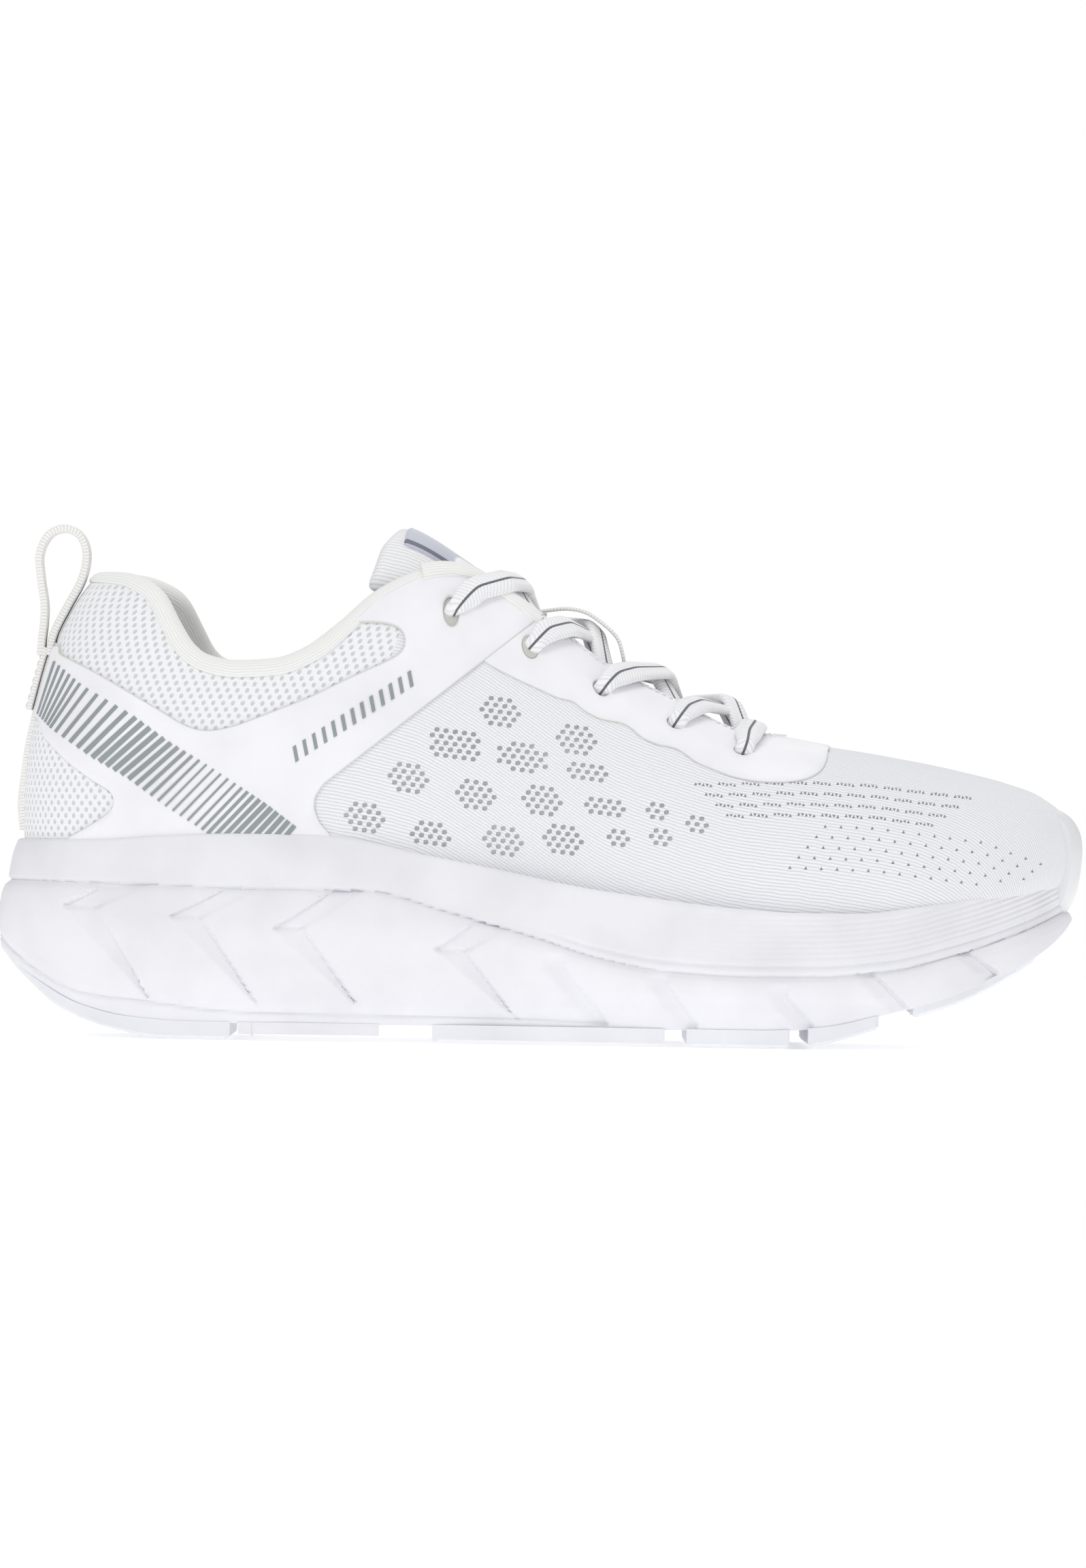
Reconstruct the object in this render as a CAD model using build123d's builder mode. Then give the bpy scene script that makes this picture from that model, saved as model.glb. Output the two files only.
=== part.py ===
"""Right-foot running shoe: cushioned midsole, rubber outsole pads, mesh upper with film overlays.

Frame: +X runs to the toe, -Y is the lateral side, +Z is up. The origin is the middle of the shoe's
bounding box on the ground. Every length is in millimetres.
"""

import os
from functools import cache
from math import cos, pi, radians, sin, tan

from build123d import *

# ---------------------------------------------------------------- driving dimensions
HEEL_X, TOE_X = -150.0, 150.0  # ends of the sole
TOE_Y = 8.0  # the toe tip leans to the medial side
PAD_THICKNESS = 4.4  # rubber under the midsole where the sole is flat
MESH = 1.4  # thickness of the upper's fabric
FILM = 0.6  # heat-pressed overlay film
BACKING = 0.4  # reinforcing tape under the eyelets
GAP = 0.2  # glue line left between neighbouring layers
FOAM_CLEARANCE = 0.5  # glue line between the foam and the upper that sits in it
LACE_RADIUS = 1.1
EYELET_RADIUS = 2.9
WEBBING = 1.9  # thickness of the pull loop's webbing
WEBBING_WIDTH = 11.0
FAR = 90.0  # reach of the cutting prisms to each side

# Outer surface of the upper, one row for each cross-section from heel to toe:
# x, bottom z, top z, lateral y, medial y, z of the greatest width, roundness of the crown
STATIONS = [
    (-143.4, 57.0, 70.0, -3.5, 3.5, 63.0, 2.0),
    (-142.3, 48.0, 79.0, -9.0, 9.0, 63.0, 2.0),
    (-139.5, 42.0, 92.0, -16.0, 16.0, 63.0, 2.1),
    (-134.0, 38.5, 111.0, -23.5, 23.5, 63.0, 2.1),
    (-124.0, 36.5, 127.0, -30.5, 30.5, 62.0, 2.1),
    (-108.0, 36.0, 139.0, -35.5, 35.5, 60.0, 2.2),
    (-85.0, 35.5, 147.0, -38.0, 37.5, 58.0, 2.2),
    (-60.0, 35.0, 150.0, -38.0, 36.0, 56.0, 2.2),
    (-38.0, 34.0, 146.0, -37.5, 34.0, 54.0, 2.2),
    (-18.0, 32.0, 135.0, -38.0, 33.5, 52.0, 2.2),
    (0.0, 30.0, 121.0, -39.5, 34.0, 50.0, 2.2),
    (18.0, 28.0, 106.3, -42.0, 36.0, 47.0, 2.2),
    (36.0, 26.5, 96.3, -45.0, 40.0, 44.0, 2.2),
    (54.0, 25.7, 87.8, -47.0, 44.5, 42.0, 2.2),
    (74.0, 25.7, 83.4, -47.5, 47.5, 41.0, 2.2),
    (95.0, 27.5, 80.2, -44.5, 48.0, 42.0, 2.2),
    (115.0, 31.8, 76.5, -36.5, 44.5, 44.0, 2.3),
    (130.0, 36.5, 72.8, -25.5, 37.0, 48.0, 2.4),
    (139.5, 41.0, 68.8, -13.5, 28.5, 52.0, 2.4),
    (144.8, 45.0, 64.3, -3.0, 20.0, 53.0, 2.3),
    (147.3, 49.0, 59.5, 3.5, 13.5, 53.0, 2.1),
    (148.0, 51.0, 56.0, 6.5, 10.5, 53.0, 2.0),
]
SECTION_POINTS = 16
SQUARE_BOTTOM = 3.0  # roundness of the lower half of each cross-section
SMALL = 20.0  # a half-width or height under this shrinks in proportion when offset

# Plan outline of the sole at its widest: heel, lateral side, toe, medial side
SOLE_OUTLINE = [
    (HEEL_X, 0), (-142, -24), (-122, -39), (-95, -45.5), (-60, -45.5), (-20, -45.5), (20, -49.5),
    (55, -53.6), (85, -51.5), (110, -42.5), (130, -27.5), (143, -9), (148, TOE_Y), (143, 24.5),
    (130, 39.5), (110, 50), (82, 54), (55, 51.5), (20, 44), (-20, 41), (-60, 43), (-95, 45.5),
    (-122, 39), (-142, 24),
]  # fmt: skip

# Side-view lines, as (x, z)
PAD_BOTTOM = [(-150, 24.5), (-140.5, 15), (-131, 7.6), (-117, 2.4), (-102, 0)]
PAD_TOE_BOTTOM = [
    (70, 0), (80, 1.7), (91, 5), (101, 8.2), (113.5, 12.2), (128.5, 19.5), (143.7, 30.5), (150, 37),
]  # fmt: skip
MIDSOLE_BOTTOM = [
    (-151, 27), (-144.3, 19.5), (-137.6, 14.8), (-126, 8.6), (-112, 5.4), (-95, 4.4), (0, 4.4), (60, 4.4),
    (78, 5.6), (93, 9), (109.5, 13.4), (129, 22), (136, 26), (142, 31), (151, 41),
]  # fmt: skip
BAND_LINE = [
    (-152, 42.8), (-122, 42.3), (-75, 41.4), (-48, 41.2), (-25, 35.6), (1, 28.4), (16, 23.9), (36, 20.6),
    (56, 19.7), (75, 19.9), (95, 21.6), (114, 26.2), (134, 33), (152, 41.5),
]  # fmt: skip
BITE_LINE = [
    (-152, 53.8), (-125, 54), (-106, 55.2), (-88, 56.2), (-67, 56.6), (-50, 55), (-35, 51.8), (-16, 48.2),
    (13, 42.6), (32, 40.1), (51, 38), (72, 36.9), (88, 37), (105, 39), (124, 42.4), (138, 45.5), (152, 49.5),
]  # fmt: skip
TOPLINE = [
    (-128, 130), (-117, 129.2), (-109, 125.4), (-104, 117), (-99.5, 110), (-94, 106), (-85, 104.2),
    (-73, 105), (-64, 108.4), (-54, 116), (-45, 124.4), (-35, 129.6), (-27, 131.9), (-19, 131.2), (-10, 127),
]  # fmt: skip
BINDING_DEPTH = 4.6

EYELETS_X = [-25.8, -4.0, 15.6, 36.0, 54.5]
EYELET_Y = [25.6, 24.4, 23.8, 25.0, 26.5]  # distance from the throat's middle line
THROAT_FRONT = 65.0
FOOTBED_THICKNESS = 5.0

os.makedirs("parts", exist_ok=True)


def save(builder, name):
    """Labels a finished piece and writes it as a node of that name."""
    builder.part.label = name
    export_step(builder.part, f"parts/{name}.step")


# ---------------------------------------------------------------- shared shapes
def shrunk(size, inset):
    """A half-width or height moved in by an inset, or in proportion where it is small."""
    return size - inset * min(1.0, size / SMALL)


def section_points(station, inset, lift=None):
    """Points round one cross-section of the upper, moved in by inset, with its floor raised by lift."""
    _, low, top, lateral, medial, wide, crown = station
    middle = (lateral + medial) / 2
    half = shrunk((medial - lateral) / 2, inset)
    rise = shrunk(top - wide, inset)
    fall = shrunk(wide - low, inset if lift is None else lift)
    points = []
    for step in range(SECTION_POINTS):
        angle = 2 * pi * step / SECTION_POINTS
        c, s = cos(angle), sin(angle)
        power = 2 / (crown if s >= 0 else SQUARE_BOTTOM)
        height = rise if s >= 0 else -fall
        across = half * abs(c) ** power * (1 if c > 0 else -1)
        points.append((middle + across, wide + height * abs(s) ** power))
    return points


WHOLE, INSTEP, FOOTBED, REAR, FRONT = (0, 22), (5, 17), (3, 19), (0, 14), (5, 22)


@cache
def form(inset, lift=None, stations=WHOLE):
    """The closed foot form inside the upper's outer surface, moved in by inset (out if negative)."""
    centre = (STATIONS[0][0] + STATIONS[-1][0]) / 2
    half_length = STATIONS[-1][0] - centre
    with BuildPart() as solid:
        for station in STATIONS[slice(*stations)]:
            x = centre + (station[0] - centre) * (half_length - inset) / half_length
            with BuildSketch(Plane.YZ.offset(x)):
                with BuildLine():
                    Spline(*section_points(station, inset, lift), periodic=True)
                make_face()
        loft()
    return solid.part


@cache
def layer(outside, inside, stations=WHOLE):
    """The skin between two insets of the foot form."""
    with BuildPart() as skin:
        add(form(outside, stations=stations))
        add(form(inside, stations=stations), mode=Mode.SUBTRACT)
    return skin.part


def side_prism(line, corners=(), side=0):
    """A side-view region, a spline closed through straight corners, pushed out to the lateral side (-1),
    the medial side (1) or both (0)."""
    with BuildPart() as prism:
        with BuildSketch(Plane.XZ):
            with BuildLine():
                Spline(*line)
                Polyline(line[-1], *corners, line[0])
            make_face()
        extrude(amount=FAR, both=side == 0, dir=(0, side or -1, 0))
    return prism.part


def plan_prism(points, low, high):
    """A closed plan-view curve pushed up between two heights."""
    with BuildPart() as prism:
        with BuildSketch(Plane.XY.offset(low)):
            with BuildLine():
                Spline(*points, periodic=True)
            make_face()
        extrude(amount=high - low)
    return prism.part


def moved_in(outline, inset):
    """A closed outline, each point moved in along its own normal. Points run anticlockwise."""
    moved = []
    for i, (x, y) in enumerate(outline):
        before, after = outline[i - 1], outline[(i + 1) % len(outline)]
        along = Vector(after[0] - before[0], after[1] - before[1]).normalized()
        moved.append((x - along.Y * inset, y + along.X * inset))
    return moved


def sole_outline(inset):
    return moved_in(SOLE_OUTLINE, inset)


def stacked_outlines(levels):
    """A loft up through the sole's outline, given as (height, inset) rows."""
    with BuildPart() as stack:
        for height, inset in levels:
            with BuildSketch(Plane.XY.offset(height)):
                with BuildLine():
                    Spline(*sole_outline(inset), periodic=True)
                make_face()
        loft()
    return stack.part


def station_at(x):
    """The upper's cross-section values at any x, between two stations."""
    for before, after in zip(STATIONS, STATIONS[1:]):
        if before[0] <= x <= after[0]:
            share = (x - before[0]) / (after[0] - before[0])
            return [a + (b - a) * share for a, b in zip(before, after)]
    raise ValueError(f"no cross-section at x = {x}")


def crown(x, across):
    """The point of the upper's outer surface at x, and at a distance across from the middle line."""
    _, _, top, lateral, medial, wide, roundness = station_at(x)
    half = (medial - lateral) / 2
    share = (1 - (abs(across) / half) ** roundness) ** (1 / roundness)
    return Vector(x, (lateral + medial) / 2 + across, wide + (top - wide) * share)


def above(x, across, height):
    """A point that stands off the upper's outer surface along its normal."""
    step = 0.5
    along = crown(x + step, across) - crown(x - step, across)
    over = crown(x, across + step) - crown(x, across - step)
    return crown(x, across) + along.cross(over).normalized() * height


def lowered(line, drop):
    return [(x, z - drop) for x, z in line]


def between(lower, upper, side=0):
    """The side-view region between two splines, as a prism."""
    with BuildPart() as prism:
        with BuildSketch(Plane.XZ):
            with BuildLine():
                Spline(*lower)
                Line(lower[-1], upper[-1])
                Spline(*upper)
                Line(upper[0], lower[0])
            make_face()
        extrude(amount=FAR, both=side == 0, dir=(0, side or -1, 0))
    return prism.part


def polygon_prism(corners, side=0):
    """A straight-sided side-view region as a prism."""
    with BuildPart() as prism:
        with BuildSketch(Plane.XZ):
            with BuildLine():
                Polyline(*corners, close=True)
            make_face()
        extrude(amount=FAR, both=side == 0, dir=(0, side or -1, 0))
    return prism.part


def between_sides(region, side, clear):
    """Keep only what lies further than clear from the middle plane, on one side."""
    with BuildPart() as half:
        with BuildSketch(Plane.XZ.offset(clear if side < 0 else -clear)):
            add(region)
        extrude(amount=FAR, dir=(0, side, 0))
    return half.part


def outline_sketch(corners, grow=0.0):
    with BuildSketch() as outline:
        with BuildLine():
            Polyline(*corners, close=True)
        make_face()
        if grow:
            offset(amount=grow, kind=Kind.INTERSECTION)
    return outline.sketch


def block(x_range, y_range, z_range):
    ranges = (x_range, y_range, z_range)
    with BuildPart() as cuboid:
        with Locations(tuple((low + high) / 2 for low, high in ranges)):
            Box(*(high - low for low, high in ranges))
    return cuboid.part


# ---------------------------------------------------------------- cutting regions of the upper
def everything_above(line):
    return side_prism(line, [(line[-1][0] + 30, 190), (-190, 190), (-190, line[0][1])])


UNDER_BINDING = lowered(TOPLINE, BINDING_DEPTH)
above_topline = everything_above(TOPLINE)
above_binding = everything_above(UNDER_BINDING)
above_binding_gap = everything_above(lowered(UNDER_BINDING, GAP))

with BuildPart() as throat_builder:
    with BuildSketch(Plane.XY.offset(70)):
        with BuildLine():
            lateral_edge = [(-60, -17), (-12, -17), (30, -15), (THROAT_FRONT - 10, -14), (THROAT_FRONT, -2)]
            medial_edge = [(THROAT_FRONT - 10, 10.5), (30, 11), (-12, 13), (-60, 13)]
            Spline(*lateral_edge, *medial_edge)
            Line(medial_edge[-1], lateral_edge[0])
        make_face()
    extrude(amount=100)
throat = throat_builder.part

with BuildPart() as eyelet_builder:
    for eyelet_x, across in zip(EYELETS_X, EYELET_Y):
        for side in (-1, 1):
            inner, outer = above(eyelet_x, side * across, -6), above(eyelet_x, side * across, 6)
            with BuildSketch(Plane(origin=inner, z_dir=outer - inner)):
                Circle(EYELET_RADIUS)
            extrude(amount=12)
eyelet_holes = eyelet_builder.part

# ---------------------------------------------------------------- sole
LOWER_WALL = [(-2, 9.5), (4, 7.2), (10, 4), (20, 1.2), (31, 0), (41, 1.4), (52, 4.5)]
BAND_WALL = [(16, 1.6), (27, 1.8), (38, 2.2), (49, 3.7), (60, 8.5)]
POD_X = (-81, -42)
with BuildPart() as band_body:
    add(stacked_outlines(BAND_WALL))
    add(between(BAND_LINE, BITE_LINE), mode=Mode.INTERSECT)
with BuildPart() as foam_pod:
    add(stacked_outlines([(0.6, 9), (8, 6.5)]))
    add(block(POD_X, (-60, -12), (0, 7)), mode=Mode.INTERSECT)
with BuildPart() as midsole:
    add(stacked_outlines(LOWER_WALL))
    add(between(MIDSOLE_BOTTOM, BAND_LINE), mode=Mode.INTERSECT)
    add(band_body.part)
    add(foam_pod.part)
    add(form(-FOAM_CLEARANCE), mode=Mode.SUBTRACT)
save(midsole, "midsole")

GROUND_LINE = [*PAD_BOTTOM, (-60, -0.3), (0, -0.3), (45, -0.3), *PAD_TOE_BOTTOM]
with BuildPart() as pad_field:
    add(stacked_outlines([(-2, 10.5), (4, 8.6), (20, 3.4), (36, 3)]))
    add(between(GROUND_LINE, lowered(MIDSOLE_BOTTOM, 0.1)), mode=Mode.INTERSECT)
    add(block((-160, 160), (-70, 70), (0, 60)), mode=Mode.INTERSECT)


def save_pad(name, x_range, y_range):
    with BuildPart() as pad:
        add(pad_field.part)
        add(block(x_range, y_range, (-5, 45)), mode=Mode.INTERSECT)
        if name == "outsole_heel_pad":
            add(block((x_range[0] + 38, x_range[1] + 1), (-7, 7), (-5, 45)), mode=Mode.SUBTRACT)
    save(pad, name)


save_pad("outsole_heel_pad", (-149, -86), (-60, 60))
save_pad("outsole_arch_pad_lateral", (-30, 36), (-60, -10))
save_pad("outsole_arch_pad_medial", (-22, 36), (12, 60))
save_pad("outsole_ball_rear_pad", (40, 69), (-60, 60))
save_pad("outsole_ball_front_pad", (72, 93), (-60, 60))
save_pad("outsole_toe_pad", (100, 134), (-60, 60))

BUMPER_PROFILE = [
    (136.6, 25.4), (143.2, 33.6), (148.2, 41.7), (150, 51.6), (149.7, 58.7), (147, 63.6), (141, 65.5),
]  # fmt: skip
BUMPER_HALF = 14  # half of its width round the toe
with BuildPart() as toe_bumper:
    add(stacked_outlines([(22, 4), (34, -1.2), (52, -2), (66, 0)]))
    add(side_prism(BUMPER_PROFILE, [(128, 60), (128, 24)]), mode=Mode.INTERSECT)
    add(block((128, 152), (TOE_Y - BUMPER_HALF, TOE_Y + BUMPER_HALF), (20, 70)), mode=Mode.INTERSECT)
    add(form(-GAP), mode=Mode.SUBTRACT)
    add(midsole.part, mode=Mode.SUBTRACT)
    add(toe_bumper.solids().sort_by(SortBy.VOLUME)[-1], mode=Mode.REPLACE)
save(toe_bumper, "toe_bumper")

# ---------------------------------------------------------------- inside the bottom of the upper
BOARD_INSET = 15
board_region = plan_prism(sole_outline(BOARD_INSET), 20, 50)
board_hole = plan_prism(sole_outline(BOARD_INSET - GAP), 20, 50)
with BuildPart() as strobel_board:
    add(layer(0, MESH))
    add(board_region, mode=Mode.INTERSECT)
save(strobel_board, "strobel_board")

SOCKLINER_INSET, SOCKLINER_LIFT = 9, 2.2
CLOTH = 0.7
floor_line = [(-150, 44), *[(x, low) for x, low, *_ in STATIONS[3:-3:2]], (150, 50)]
sockliner_top = lowered(floor_line, -SOCKLINER_LIFT - FOOTBED_THICKNESS)
cloth_bottom = lowered(sockliner_top, CLOTH)
with BuildPart() as sockliner_foam:
    add(form(SOCKLINER_INSET, SOCKLINER_LIFT, FOOTBED))
    add(between(lowered(floor_line, 5), cloth_bottom), mode=Mode.INTERSECT)
save(sockliner_foam, "sockliner_foam")
with BuildPart() as sockliner_cloth:
    add(form(SOCKLINER_INSET, SOCKLINER_LIFT, FOOTBED))
    add(between(lowered(cloth_bottom, -0.05), sockliner_top), mode=Mode.INTERSECT)
save(sockliner_cloth, "sockliner_cloth")

# ---------------------------------------------------------------- base fabric of the upper
SEAM_LOW, SEAM_HIGH = (-80, 30), (-20, 150)
behind_seam = [SEAM_LOW, SEAM_HIGH, (-160, 150), (-160, 30)]
with BuildPart() as vamp_mesh:
    add(layer(0, MESH, FRONT))
    add(polygon_prism([(x + GAP, z) for x, z in behind_seam]), mode=Mode.SUBTRACT)
    add(above_binding_gap, mode=Mode.SUBTRACT)
    add(throat, mode=Mode.SUBTRACT)
    add(eyelet_holes, mode=Mode.SUBTRACT)
    add(board_hole, mode=Mode.SUBTRACT)
save(vamp_mesh, "vamp_mesh")
for side, word in ((-1, "lateral"), (1, "medial")):
    with BuildPart() as heel_quarter:
        add(layer(0, MESH, REAR))
        add(between_sides(outline_sketch(behind_seam), side, GAP / 2), mode=Mode.INTERSECT)
        add(above_binding_gap, mode=Mode.SUBTRACT)
        add(board_hole, mode=Mode.SUBTRACT)
    save(heel_quarter, f"heel_quarter_{word}")

# ---------------------------------------------------------------- overlays
SIDE_OVERLAY = [
    (-52, 114.4), (-52, 140), (-2, 140), (-3.6, 114.6), (-59.8, 70), (-62.2, 63.2), (-57.9, 56.6), (-57, 40),
    (-129.9, 40), (-129.9, 54), (-124.1, 57.5), (-118.4, 61.4), (-116.9, 64.3), (-118.4, 67.2), (-123.2, 70),
    (-130.9, 75.6), (-139, 83.7), (-150, 92), (-150, 112), (-134.7, 105.4), (-121.3, 98.8), (-104.9, 89.5),
    (-98.2, 85.7), (-92.4, 84.2), (-84.8, 85.5), (-73.2, 90), (-63.6, 94), (-54, 98.9), (-43.4, 103.9),
    (-38.2, 107.8), (-38.2, 111.2), (-41.5, 114),
]
EYESTAY_OVERLAY = [
    (-17.3, 103.9), (-5.5, 99.1), (6.3, 94.2), (13.8, 91), (24.8, 86.5), (32.4, 82), (39.9, 78.8),
    (49.2, 75.5), (57.6, 73.6), (64.3, 72.6), (71.9, 73.8), (75.9, 75.9), (79, 81.4), (80, 96),
    (-8, 150), (-45, 150),
]
BACKSTAY_HALF = 5.0
OVERLAY_DEPTHS = (-0.7, -0.1)
above_bite = everything_above(lowered(BITE_LINE, -GAP))
for side, word in ((-1, "lateral"), (1, "medial")):
    with BuildPart() as side_overlay:
        add(layer(*OVERLAY_DEPTHS, REAR))
        add(between_sides(outline_sketch(SIDE_OVERLAY), side, BACKSTAY_HALF + GAP), mode=Mode.INTERSECT)
        add(above_bite, mode=Mode.INTERSECT)
        add(above_binding_gap, mode=Mode.SUBTRACT)
        add(throat, mode=Mode.SUBTRACT)
        add(eyelet_holes, mode=Mode.SUBTRACT)
    save(side_overlay, f"side_overlay_{word}")
with BuildPart() as eyestay_overlay:
    add(layer(*OVERLAY_DEPTHS, FRONT))
    add(polygon_prism(EYESTAY_OVERLAY), mode=Mode.INTERSECT)
    add(between_sides(outline_sketch(SIDE_OVERLAY, 0.3), -1, 0), mode=Mode.SUBTRACT)
    add(between_sides(outline_sketch(SIDE_OVERLAY, 0.3), 1, 0), mode=Mode.SUBTRACT)
    add(above_binding_gap, mode=Mode.SUBTRACT)
    add(throat, mode=Mode.SUBTRACT)
    add(eyelet_holes, mode=Mode.SUBTRACT)
save(eyestay_overlay, "eyestay_overlay")

EYESTAY_BACKING = [(-34, 104), (-4, 90), (40, 74), (70, 70), (78, 78), (78, 96), (-8, 150), (-34, 150)]
for side, word in ((-1, "lateral"), (1, "medial")):
    with BuildPart() as eyestay_backing:
        add(layer(MESH + GAP, MESH + GAP + BACKING, FRONT))
        add(between_sides(outline_sketch(EYESTAY_BACKING), side, 4), mode=Mode.INTERSECT)
        add(above_binding_gap, mode=Mode.SUBTRACT)
        add(throat, mode=Mode.SUBTRACT)
        add(eyelet_holes, mode=Mode.SUBTRACT)
    save(eyestay_backing, f"eyestay_backing_{word}")

with BuildPart() as toe_puff:
    add(layer(MESH + GAP, MESH + GAP + 0.8, FRONT))
    add(polygon_prism([(120, 44), (160, 44), (160, 90), (112, 90)]), mode=Mode.INTERSECT)
save(toe_puff, "toe_puff")
with BuildPart() as heel_counter:
    add(layer(MESH + GAP, 3.0, REAR))
    add(polygon_prism([(-160, 47), (-72, 47), (-84, 80), (-100, 95), (-160, 95)]), mode=Mode.INTERSECT)
save(heel_counter, "heel_counter")

# ---------------------------------------------------------------- collar
FOAM_DEPTHS, LINING_DEPTHS = (3.2, 7.0), (7.2, 8.0)
COLLAR_FRONT = -54
for name, depths in (("collar_foam", FOAM_DEPTHS), ("collar_lining", LINING_DEPTHS)):
    with BuildPart() as collar_piece:
        add(layer(*depths, REAR))
        add(block((-160, COLLAR_FRONT), (-60, 60), (49, 160)), mode=Mode.INTERSECT)
        add(above_binding_gap, mode=Mode.SUBTRACT)
    save(collar_piece, name)
with BuildPart() as collar_binding:
    add(layer(-FILM, 8.2, REAR))
    add(block((-160, COLLAR_FRONT), (-60, 60), (49, 160)), mode=Mode.INTERSECT)
    with BuildPart(mode=Mode.PRIVATE) as binding_front:
        add(layer(-FILM, 2.0, REAR))
        add(block((COLLAR_FRONT, 0), (-60, 60), (49, 160)), mode=Mode.INTERSECT)
    add(binding_front.part)
    add(above_topline, mode=Mode.SUBTRACT)
    add(above_binding, mode=Mode.INTERSECT)
    add(throat, mode=Mode.SUBTRACT)
save(collar_binding, "collar_binding")

ANCHOR_TOP, ANCHOR_BOTTOM = 104.9, 89.0
with BuildPart() as heel_backstay:
    add(layer(-0.9, -0.1, REAR))
    add(block((-160, -110), (-BACKSTAY_HALF, BACKSTAY_HALF), (56, ANCHOR_TOP)), mode=Mode.INTERSECT)
    add(above_binding_gap, mode=Mode.SUBTRACT)
save(heel_backstay, "heel_backstay")
with BuildPart() as pull_loop_anchor:
    add(layer(-1.0 - WEBBING, -1.0, REAR))
    anchor_width = (-WEBBING_WIDTH / 2, WEBBING_WIDTH / 2)
    add(block((-160, -120), anchor_width, (ANCHOR_BOTTOM, ANCHOR_TOP)), mode=Mode.INTERSECT)
save(pull_loop_anchor, "pull_loop_anchor")

LOOP_OUTLINE = [
    (-136.4, 107), (-134.7, 112.4), (-129.2, 121), (-125.4, 129), (-125.3, 134.5), (-128, 139.2),
    (-132.8, 141.1), (-138, 139), (-141, 134.5), (-141.6, 127), (-140.9, 116), (-140.2, 107),
]
LOOP_HOLE = [
    (-137.6, 113.4), (-135.9, 114.6), (-130.9, 122), (-127.4, 129.3), (-127.3, 134), (-129.4, 137.6),
    (-132.8, 139.1), (-137, 137.5), (-139.1, 134), (-139.7, 127), (-138.9, 117),
]
with BuildPart() as pull_loop:
    with BuildSketch(Plane.XZ.offset(-WEBBING_WIDTH / 2)):
        with BuildLine():
            Spline(*LOOP_OUTLINE)
            RadiusArc(LOOP_OUTLINE[-1], LOOP_OUTLINE[0], -1.9)
        make_face()
        with BuildLine():
            Spline(*LOOP_HOLE, periodic=True)
        make_face(mode=Mode.SUBTRACT)
    extrude(amount=WEBBING_WIDTH)
save(pull_loop, "pull_loop")

# ---------------------------------------------------------------- tongue
TONGUE_BEND_X = -10.0
BEND_GAP = 0.5
BEND_CORNER_X, BEND_CORNER_Z = -15.0, 109.0  # low corners cut off to clear the bend
TONGUE_HALF = 19.5
FACE_DEPTHS, PADDING_DEPTHS, BACK_DEPTHS, RIM_DEPTHS = (5.9, 6.7), (6.8, 10.1), (10.2, 10.8), (5.7, 11.0)
LABEL_DEPTHS = (5.1, 5.7)
RIM = 2.4
LOWER_X, TOP_X = (TONGUE_BEND_X + BEND_GAP, 64), (-60, TONGUE_BEND_X - BEND_GAP)
TONGUE_OUTLINE = [
    (62, -15), (62, 12), (30, 15), (-10, TONGUE_HALF - 2), (-34, TONGUE_HALF - 2), (-43, 13), (-45.5, -2),
    (-43, -17), (-34, -2 - TONGUE_HALF), (-10, -2 - TONGUE_HALF), (30, -20),
]
TONGUE_TIP = [(-70, 96), (-47, 126), (-44.6, 132.2), (-38, 139.5), (-30, 141.5), (-10, 146)]


def tongue_region(inset):
    """The tongue's outline as a prism, cut off behind its rounded tip."""
    with BuildPart() as region:
        add(plan_prism(moved_in(TONGUE_OUTLINE, inset), 60, 160))
        add(everything_above(lowered(TONGUE_TIP, inset)), mode=Mode.SUBTRACT)
    return region.part


def tongue_layer(outside, inside, x_range, inset, rim=0.0):
    with BuildPart() as sheet:
        add(layer(outside, inside, INSTEP))
        add(tongue_region(inset), mode=Mode.INTERSECT)
        add(block(x_range, (-60, 60), (60, 160)), mode=Mode.INTERSECT)
        if rim:
            add(tongue_region(inset + rim), mode=Mode.SUBTRACT)
        if x_range == TOP_X:
            add(block((BEND_CORNER_X, 0), (-60, 60), (60, BEND_CORNER_Z)), mode=Mode.SUBTRACT)
        add(sheet.solids().sort_by(SortBy.VOLUME)[-1], mode=Mode.REPLACE)
    return sheet


save(tongue_layer(*FACE_DEPTHS, LOWER_X, 0), "tongue_lower_face")
save(tongue_layer(*PADDING_DEPTHS, LOWER_X, 2), "tongue_lower_foam")
save(tongue_layer(*BACK_DEPTHS, LOWER_X, 0), "tongue_lower_lining")
save(tongue_layer(*FACE_DEPTHS, TOP_X, RIM + GAP), "tongue_top_face")
save(tongue_layer(*PADDING_DEPTHS, TOP_X, RIM + GAP), "tongue_top_foam")
save(tongue_layer(*BACK_DEPTHS, TOP_X, RIM + GAP), "tongue_top_lining")
save(tongue_layer(*RIM_DEPTHS, TOP_X, 0, RIM), "tongue_top_binding")
with BuildPart() as tongue_label:
    add(layer(*LABEL_DEPTHS, INSTEP))
    add(block((-37.5, -13), (-14, 10), (100, 160)), mode=Mode.INTERSECT)
    add(everything_above(TONGUE_TIP), mode=Mode.SUBTRACT)
save(tongue_label, "tongue_label")

# ---------------------------------------------------------------- lace
UNDER, OVER = -3.4, 2.4
LOW_CROSSING, HIGH_CROSSING = 1.6, 4.3
OVER_EDGE_X, UNDER_EDGE_X = [14, 9, 8, 6, 3], 3
EDGE_Y = [15.0, 14.4, 13.6, 12.8, 12.0]


def row_points(row, side):
    """Down through the eyelet from above: over the throat's edge, above the hole, under the hole."""
    x, across, edge = EYELETS_X[row], EYELET_Y[row] * side, EDGE_Y[row] * side
    halfway = above(x + OVER_EDGE_X[row] / 2, (across + edge) / 2, OVER)
    return [above(x + OVER_EDGE_X[row], edge, OVER), halfway, above(x, across, OVER), above(x, across, UNDER)]


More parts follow.
